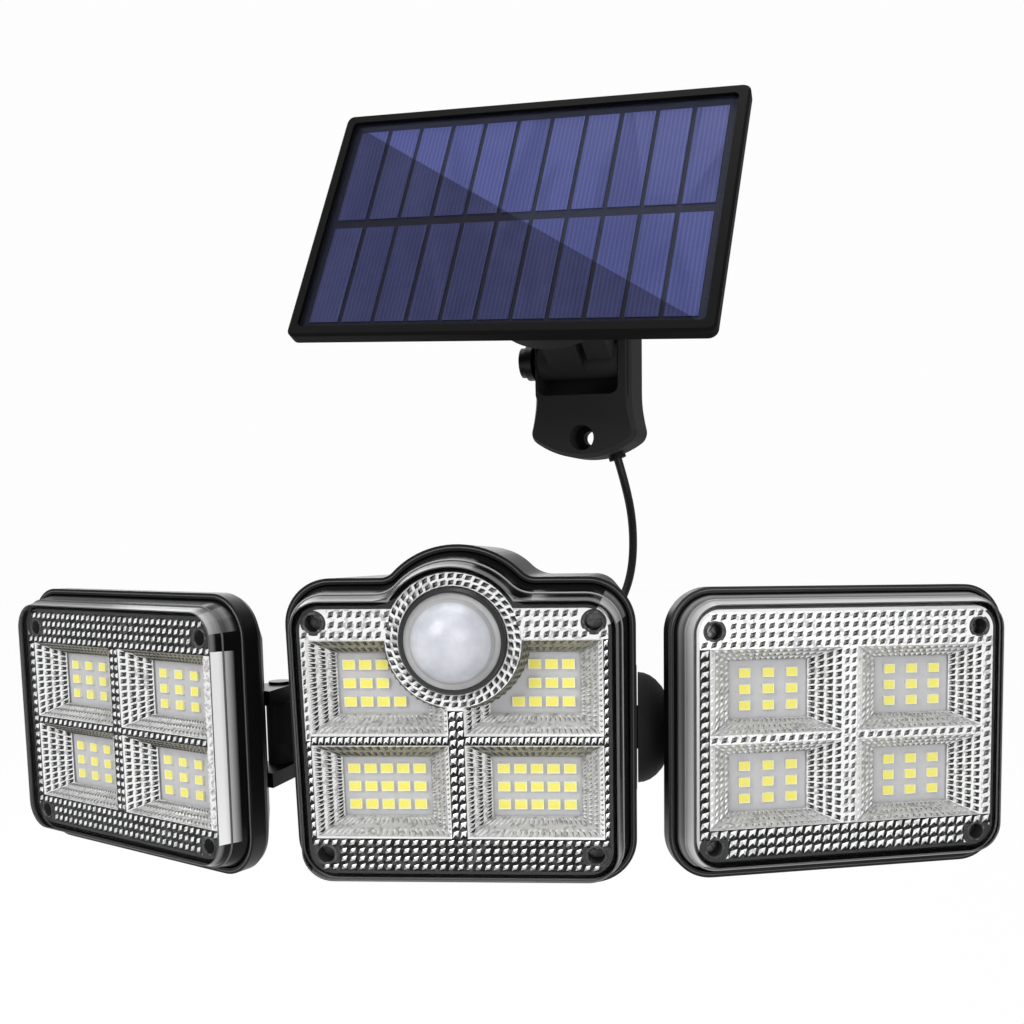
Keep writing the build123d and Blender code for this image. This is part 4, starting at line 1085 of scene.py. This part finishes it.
def facet_patch(spot_of, columns, rows, keep, look):
    """Grid of raised, leaning facets; spot_of maps 0..1 twice to a place in millimetres in a head."""
    ground, upper, right, lower, left, margin, drawn = LOOKS[look]
    patch = facet_grid(spot_of, columns, rows, keep)
    cells = len(patch.data.polygons)
    if not cells:
        drop(patch)
        return None
    with editing():
        bpy.ops.mesh.select_mode(type="FACE")
        bpy.ops.mesh.select_all(action="SELECT")
        bpy.ops.mesh.inset(thickness=margin, use_individual=True)
    for index, face in enumerate(patch.data.polygons):
        face.select = index < cells
        face.material_index = LIGHT_AND_SHADE_NAMES.index(ground)
        if face.select:
            middle = face.center.copy()
            for v in face.vertices:
                corner = patch.data.vertices[v]
                away = corner.co - middle
                if away.x * away.y < 0:
                    corner.co = middle + away * (1 - drawn)
    corners = len(patch.data.vertices)
    with editing():
        bpy.ops.mesh.poke()
    # Each side of a facet takes the tone that paints its light or shade, by the way it faces.
    for face in patch.data.polygons:
        apexes = [v for v in face.vertices if v >= corners]
        if apexes:
            away = face.center - patch.data.vertices[apexes[0]].co
            across = abs(away.x) > abs(away.y)
            tone = (right, left)[away.x < 0] if across else (upper, lower)[away.y < 0]
            face.material_index = LIGHT_AND_SHADE_NAMES.index(tone)
    raise_facets(patch, spot_of, columns, rows, corners)
    return patch


def raise_facets(patch, spot_of, columns, rows, corners):
    """Carry a flat patch to its place and lift each apex out of the front."""
    for vertex in patch.data.vertices:
        u = vertex.co.x / columns
        v = vertex.co.y / rows
        spot = Vector(spot_of(u, v))
        if vertex.index >= corners:
            near = Vector(spot_of(u + NEARBY, v)) - spot
            over = Vector(spot_of(u, v + NEARBY)) - spot
            out = near.cross(over).normalized()
            spot += out * math.copysign(sizes().facet_height / MM, -out.y)
        vertex.co = spot * MM
    patch.data.update()
    if sum(face.normal.y * face.area for face in patch.data.polygons) > 0:
        alone(patch)
        with editing():
            bpy.ops.mesh.select_all(action="SELECT")
            bpy.ops.mesh.flip_normals()


def flat_patch(band, cell, keep, look):
    """Facets on one band of the flat front."""
    x0, x1, z0, z1 = band
    columns = max(1, round((x1 - x0) / cell[0]))
    rows = max(1, round((z1 - z0) / cell[1]))

    def spot_of(u, v):
        return (x0 + (x1 - x0) * u, -LIFT, z0 + (z1 - z0) * v)

    return facet_patch(spot_of, columns, rows, keep, look)


def ring_patch(radius, depth, cells, keep, look):
    """Facets on a ring or cone round the sensor."""

    def spot_of(u, v):
        angle = 2 * math.pi * u
        r = radius[0] + (radius[1] - radius[0]) * v
        y = depth[0] + (depth[1] - depth[0]) * v
        return (r * math.cos(angle), y, ARCH_Z + r * math.sin(angle))

    return facet_patch(spot_of, *cells, keep, look)


def window_walls(head, x_side, z_side):
    """The four slanting walls of one window, each as a map of 0..1 twice."""
    mouth_x = x_side * (BAR_X + head.opened[0] / 2)
    mouth_z = z_side * (BAR_Z + head.opened[1] / 2)

    def mouth(across, up):
        x = mouth_x + across * (head.opened[0] / 2 - LIFT)
        return Vector((x, WALL_EASE, mouth_z + up * (head.opened[1] / 2 - LIFT)))

    def foot(across, up):
        x = x_side * head.group[0] + across * (head.floor[0] / 2 - LIFT)
        z = z_side * head.group[1] + up * (head.floor[1] / 2 - LIFT)
        return Vector((x, FUNNEL_BACK - WALL_EASE, z))

    return {
        "upper": lambda u, v: foot(2 * u - 1, 1).lerp(mouth(2 * u - 1, 1), v),
        "lower": lambda u, v: mouth(2 * u - 1, -1).lerp(foot(2 * u - 1, -1), v),
        "left": lambda u, v: mouth(-1, 2 * v - 1).lerp(foot(-1, 2 * v - 1), u),
        "right": lambda u, v: foot(1, 2 * v - 1).lerp(mouth(1, 2 * v - 1), u),
    }


def clear_of_collar(spot):
    reach = COLLAR_FRONT + (COLLAR_BACK - COLLAR_FRONT) * spot.y / FUNNEL_BACK
    return math.hypot(spot.x, spot.z - ARCH_Z) > reach - COLLAR_SLACK


def anywhere(spot):
    return True


def wall_patches(head, pitch):
    """Facets on the walls of a head's four windows."""
    keep = clear_of_collar if head.arched else anywhere
    patches = []
    for x_side in (-1, 1):
        for z_side in (1, -1):
            for wall, spot_of in window_walls(head, x_side, z_side).items():
                look, share, deep = WALL_LOOKS[head.label][wall]
                level = wall in ("upper", "lower")
                count = round(head.opened[0 if level else 1] / (share * pitch))
                columns, rows = (count, deep) if level else (deep, count)
                patches.append(facet_patch(spot_of, columns, rows, keep, look))
    return patches


def collar_patches(head):
    """Facets on the ring round the sensor and on the part of its cone that stands in a window."""

    def in_window(spot):
        across = BAR_X < abs(spot.x) < BAR_X + head.opened[0]
        return across and BAR_Z < spot.z < BAR_Z + head.opened[1]

    ring = (COLLAR_FRONT - COLLAR_SLACK, BEZEL_R + COLLAR_SLACK)
    cone = (COLLAR_FRONT + LIFT, COLLAR_BACK + LIFT)
    return [
        ring_patch(ring, (-2 * LIFT, -2 * LIFT), RING_CELLS, anywhere, "fine_marks"),
        ring_patch(cone, (2 * WALL_EASE, FUNNEL_BACK), CONE_CELLS, in_window, "soft_dark"),
    ]


def facet_coat(head, patches):
    """Join the patches of one reflector into a thin closed coat and let it ride."""
    coat = joined([patch for patch in patches if patch], f"{head.label}_facets")
    carried(coat, head.frame)
    thick = coat.modifiers.new("coat", "SOLIDIFY")
    thick.thickness = COAT * MM
    thick.offset = -1.0
    apply_all(coat)
    place_piece(coat, head.body)


class SECURITYLIGHT_OT_reflectors(bpy.types.Operator):
    """Faceted plating of the three reflectors"""

    bl_idname = "security_light.reflectors"
    bl_label = "Reflectors"

    def execute(self, context):
        pitches = {
            "lamp": sizes().facet_pitch / MM,
            "right": sizes().side_pitch / MM,
            "left": sizes().side_pitch / MM * LEFT_PITCH,
        }
        for head in HEADS:
            pitch = pitches[head.label]
            bands = bands_of(head)
            keep = land_of(head)
            patches = [
                flat_patch(bands[band], (cell[0] * pitch, cell[1] * pitch), keep, look)
                for band, (look, cell) in LAND_LOOKS[head.label].items()
            ]
            if head.arched:
                patches += collar_patches(head)
            facet_coat(head, patches + wall_patches(head, pitch))
        return {"FINISHED"}


# ---------------- fine lines of the rims
# Inset and thickness of each raised line round a head; the lines' greys paint the highlights along the
# lips and the cover's edge.
RIM_LINES = {"outer_line": (0.95, 0.5), "cover_line": (3.75, 0.7), "front_line": (COVER_IN + 0.1, 0.35)}


def arc(x, z, radius, start, end, steps=10):
    """Points of an arc between two angles in degrees."""
    turns = [math.radians(start + (end - start) * i / steps) for i in range(steps + 1)]
    return [(x + radius * math.cos(a), z + radius * math.sin(a)) for a in turns]


def rounded_outline(head, inset):
    """Points round a head's outline, drawn in by an inset."""
    half = head.half - inset
    top = head.top - inset
    bottom = head.bottom + inset
    corner = head.corner - inset
    points = arc(half - corner, bottom + corner, corner, -90, 0)
    points += arc(half - corner, top - corner, corner, 0, 90)
    if head.arched:
        radius = ARCH_R - inset
        fillet = ARCH_FILLET + inset
        rise = top + fillet - ARCH_Z
        out = math.sqrt((radius + fillet) ** 2 - rise ** 2)
        lean = math.degrees(math.atan2(rise, out))
        points += arc(out, top + fillet, fillet, -90, lean - 180)
        points += arc(0, ARCH_Z, radius, lean, 180 - lean, 30)
        points += arc(-out, top + fillet, fillet, -lean, -90)
    points += arc(corner - half, top - corner, corner, 90, 180)
    points += arc(corner - half, bottom + corner, corner, 180, 270)
    return points


def bead(points, depth, thick, finish, name):
    """Fine closed round line through points on one depth."""
    line = bpy.data.curves.new(name, "CURVE")
    line.dimensions = "3D"
    spline = line.splines.new("POLY")
    spline.points.add(len(points) - 1)
    for point, (x, z) in zip(spline.points, points):
        point.co = (x * MM, depth * MM, z * MM, 1)
    spline.use_cyclic_u = True
    line.bevel_depth = thick / 2 * MM
    line.bevel_resolution = 1
    line.materials.append(finish)
    piece = mesh_of(line, name)
    piece.data.name = name
    return piece


class SECURITYLIGHT_OT_rims(bpy.types.Operator):
    """Raised lines round the covers and the housings' lips, whose greys paint their highlights"""

    bl_idname = "security_light.rims"
    bl_label = "Rim lines"

    def execute(self, context):
        for head in HEADS:
            fall = (head.foot - COVER_LIP - COVER_FRONT) / (COVER_IN - COVER_OUT)
            for name, (inset, thick) in RIM_LINES.items():
                on_cover = inset > COVER_OUT
                depth = COVER_FRONT + max(0.0, COVER_IN - inset) * fall if on_cover else head.rim
                # The cover line paints a brighter highlight, except on the left head.
                light = name == "cover_line" and head.label != "left"
                finish = FINISH["painted_rim_light" if light else "painted_rim_dim_light"]
                piece = bead(rounded_outline(head, inset), depth, thick, finish, f"{head.label}_{name}")
                carried(piece, head.frame)
                smooth(piece)
                place_piece(piece, head.body)
        return {"FINISHED"}


# ---------------- chips
def one_chip():
    """Pale package with a sunken phosphor window."""
    nothing_selected()
    bpy.ops.mesh.primitive_cube_add(size=1.0)
    chip = bpy.context.active_object
    chip.data.materials.append(FINISH["chip_package"])
    chip.data.materials.append(FINISH["phosphor"])
    chip.scale = (CHIP[0] * MM, CHIP_TALL * MM, CHIP[1] * MM)
    chip.location = (0, (BOARD_FRONT - CHIP_TALL / 2) * MM, 0)
    settle(chip)
    for face in chip.data.polygons:
        face.select = face.normal.y < -0.9
    with editing():
        bpy.ops.mesh.select_mode(type="FACE")
        bpy.ops.mesh.inset(thickness=CHIP_RIM * MM)
        bpy.ops.mesh.inset(thickness=WINDOW_STEP * MM, depth=-WINDOW_DEEP * MM)
    for face in chip.data.polygons:
        face.material_index = 1 if face.select else 0
    return chip


def chip_spots(head):
    """Middles of a head's chips, without those that the sensor's collar covers."""
    spots = []
    for x_side in (1, -1):
        for z_side in (1, -1):
            for i in range(head.columns):
                for j in range(CHIP_ROWS):
                    x = x_side * (head.group[0] + (i - (head.columns - 1) / 2) * head.spacing[0])
                    z = z_side * head.group[1] + (j - (CHIP_ROWS - 1) / 2) * head.spacing[1]
                    if not head.arched or math.hypot(x, z - ARCH_Z) > COLLAR_BACK + CHIP[0] / 2:
                        spots.append((x, z))
    return spots


class SECURITYLIGHT_OT_chips(bpy.types.Operator):
    """LED chips of the three heads"""

    bl_idname = "security_light.chips"
    bl_label = "LED chips"

    def execute(self, context):
        model = one_chip()
        for head in HEADS:
            copies = [copy_of(model, turned(x, 0, z)) for x, z in chip_spots(head)]
            chips = joined(copies, f"{head.label}_chips")
            carried(chips, head.frame)
            place_piece(chips, head.body)
            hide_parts(f"{head.label}_leds")
        drop(model)
        return {"FINISHED"}


# ---------------- screws
def standing_drum(radius, long, middle, sides):
    """Cylinder along the depth, with its middle at a depth."""
    nothing_selected()
    bpy.ops.mesh.primitive_cylinder_add(
        vertices=sides, radius=radius, depth=long * MM, rotation=(math.pi / 2, 0, 0),
        location=(0, middle * MM, 0),
    )
    drum = bpy.context.active_object
    drum.data.materials.append(FINISH["screw_steel"])
    settle(drum)
    return drum


def one_screw():
    """Pan head with a cross recess, looking out of the front, on its shank."""
    radius = sizes().screw_width / 2
    head = standing_drum(radius, SCREW_TALL, BOARD_FRONT - SCREW_TALL / 2, 32)
    bevel = head.modifiers.new("round", "BEVEL")
    bevel.width = SCREW_ROUND * MM
    bevel.segments = 3
    bevel.limit_method = "ANGLE"
    apply_all(head)
    for turn in SLOT_TURNS:
        nothing_selected()
        bpy.ops.mesh.primitive_cube_add(size=1.0)
        blade = bpy.context.active_object
        blade.scale = (radius * SLOT_LONG, SLOT_DEEP * MM, SLOT * MM)
        blade.rotation_euler = (0, math.radians(turn), 0)
        blade.location = (0, (BOARD_FRONT - SCREW_TALL) * MM, 0)
        settle(blade)
        cut = head.modifiers.new("cross", "BOOLEAN")
        cut.object = blade
        cut.operation = "DIFFERENCE"
        apply_all(head)
        drop(blade)
    shank = standing_drum(SHANK_R * MM, SHANK_LONG, BOARD_FRONT + SHANK_LONG / 2, 20)
    return joined([head, shank], "screw_model")


def one_ring():
    """Rounded ring round the mouth of a screw hole, in the plating's dark tone that paints the shade at
    the hole's mouth.
    """
    nothing_selected()
    bpy.ops.mesh.primitive_torus_add(
        major_radius=RING_R * MM, minor_radius=RING_WIRE * MM, major_segments=28, minor_segments=8,
        rotation=(math.pi / 2, 0, 0), location=(0, RING_DEPTH * MM, 0),
    )
    ring = bpy.context.active_object
    ring.data.materials.append(FINISH["plated_dark"])
    settle(ring)
    return ring


class SECURITYLIGHT_OT_screws(bpy.types.Operator):
    """Cross-headed screws of the reflectors"""

    bl_idname = "security_light.screws"
    bl_label = "Screws"

    def execute(self, context):
        screw = one_screw()
        ring = one_ring()
        corners = [(sx, sz) for sx in (1, -1) for sz in (1, -1)]
        for head in HEADS:
            spots = [turned(sx * head.screw[0], 0, sz * head.screw[1]) for sx, sz in corners]
            turns = [SCREW_TURN[0] * sx + SCREW_TURN[1] * sz for sx, sz in corners]
            screws = [copy_of(screw, at @ turned(about=(0, turn, 0))) for at, turn in zip(spots, turns)]
            rings = [copy_of(ring, at) for at in spots]
            collars = joined(rings, f"{head.label}_screw_rings")
            carried(collars, head.frame)
            smooth(collars)
            place_piece(collars, head.body)
            heads = joined(screws, f"{head.label}_cross_screws")
            carried(heads, head.frame)
            smooth(heads, 35)
            place_piece(heads, head.body)
            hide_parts(f"{head.label}_screws")
        drop(screw)
        drop(ring)
        return {"FINISHED"}


# ---------------- panel in the sidebar
STEPS = (
    SECURITYLIGHT_OT_finishes,
    SECURITYLIGHT_OT_stage,
    SECURITYLIGHT_OT_cable,
    SECURITYLIGHT_OT_solids,
    SECURITYLIGHT_OT_reflectors,
    SECURITYLIGHT_OT_rims,
    SECURITYLIGHT_OT_chips,
    SECURITYLIGHT_OT_screws,
)


class SECURITYLIGHT_PT_panel(bpy.types.Panel):
    """Lists the sizes, the colours and the steps"""

    bl_idname = "SECURITYLIGHT_PT_panel"
    bl_label = "Security Light"
    bl_space_type = "VIEW_3D"
    bl_region_type = "UI"
    bl_category = "Security Light"

    def draw(self, context):
        for group in (sizes(), colours()):
            for name in group.__annotations__:
                self.layout.prop(group, name)
        for step in STEPS:
            self.layout.operator(step.bl_idname)


CLASSES = (SecurityLightSizes, SecurityLightColours, *STEPS, SECURITYLIGHT_PT_panel)


def register():
    for item in CLASSES:
        bpy.utils.register_class(item)
    bpy.types.Scene.security_light_sizes = bpy.props.PointerProperty(type=SecurityLightSizes)
    bpy.types.Scene.security_light_colours = bpy.props.PointerProperty(type=SecurityLightColours)


def unregister():
    del bpy.types.Scene.security_light_colours
    del bpy.types.Scene.security_light_sizes
    for item in reversed(CLASSES):
        bpy.utils.unregister_class(item)


def main():
    register()
    for step in STEPS:
        group, name = step.bl_idname.split(".")
        getattr(getattr(bpy.ops, group), name)()
    bpy.context.view_layer.update()


if __name__ == "__main__":
    main()
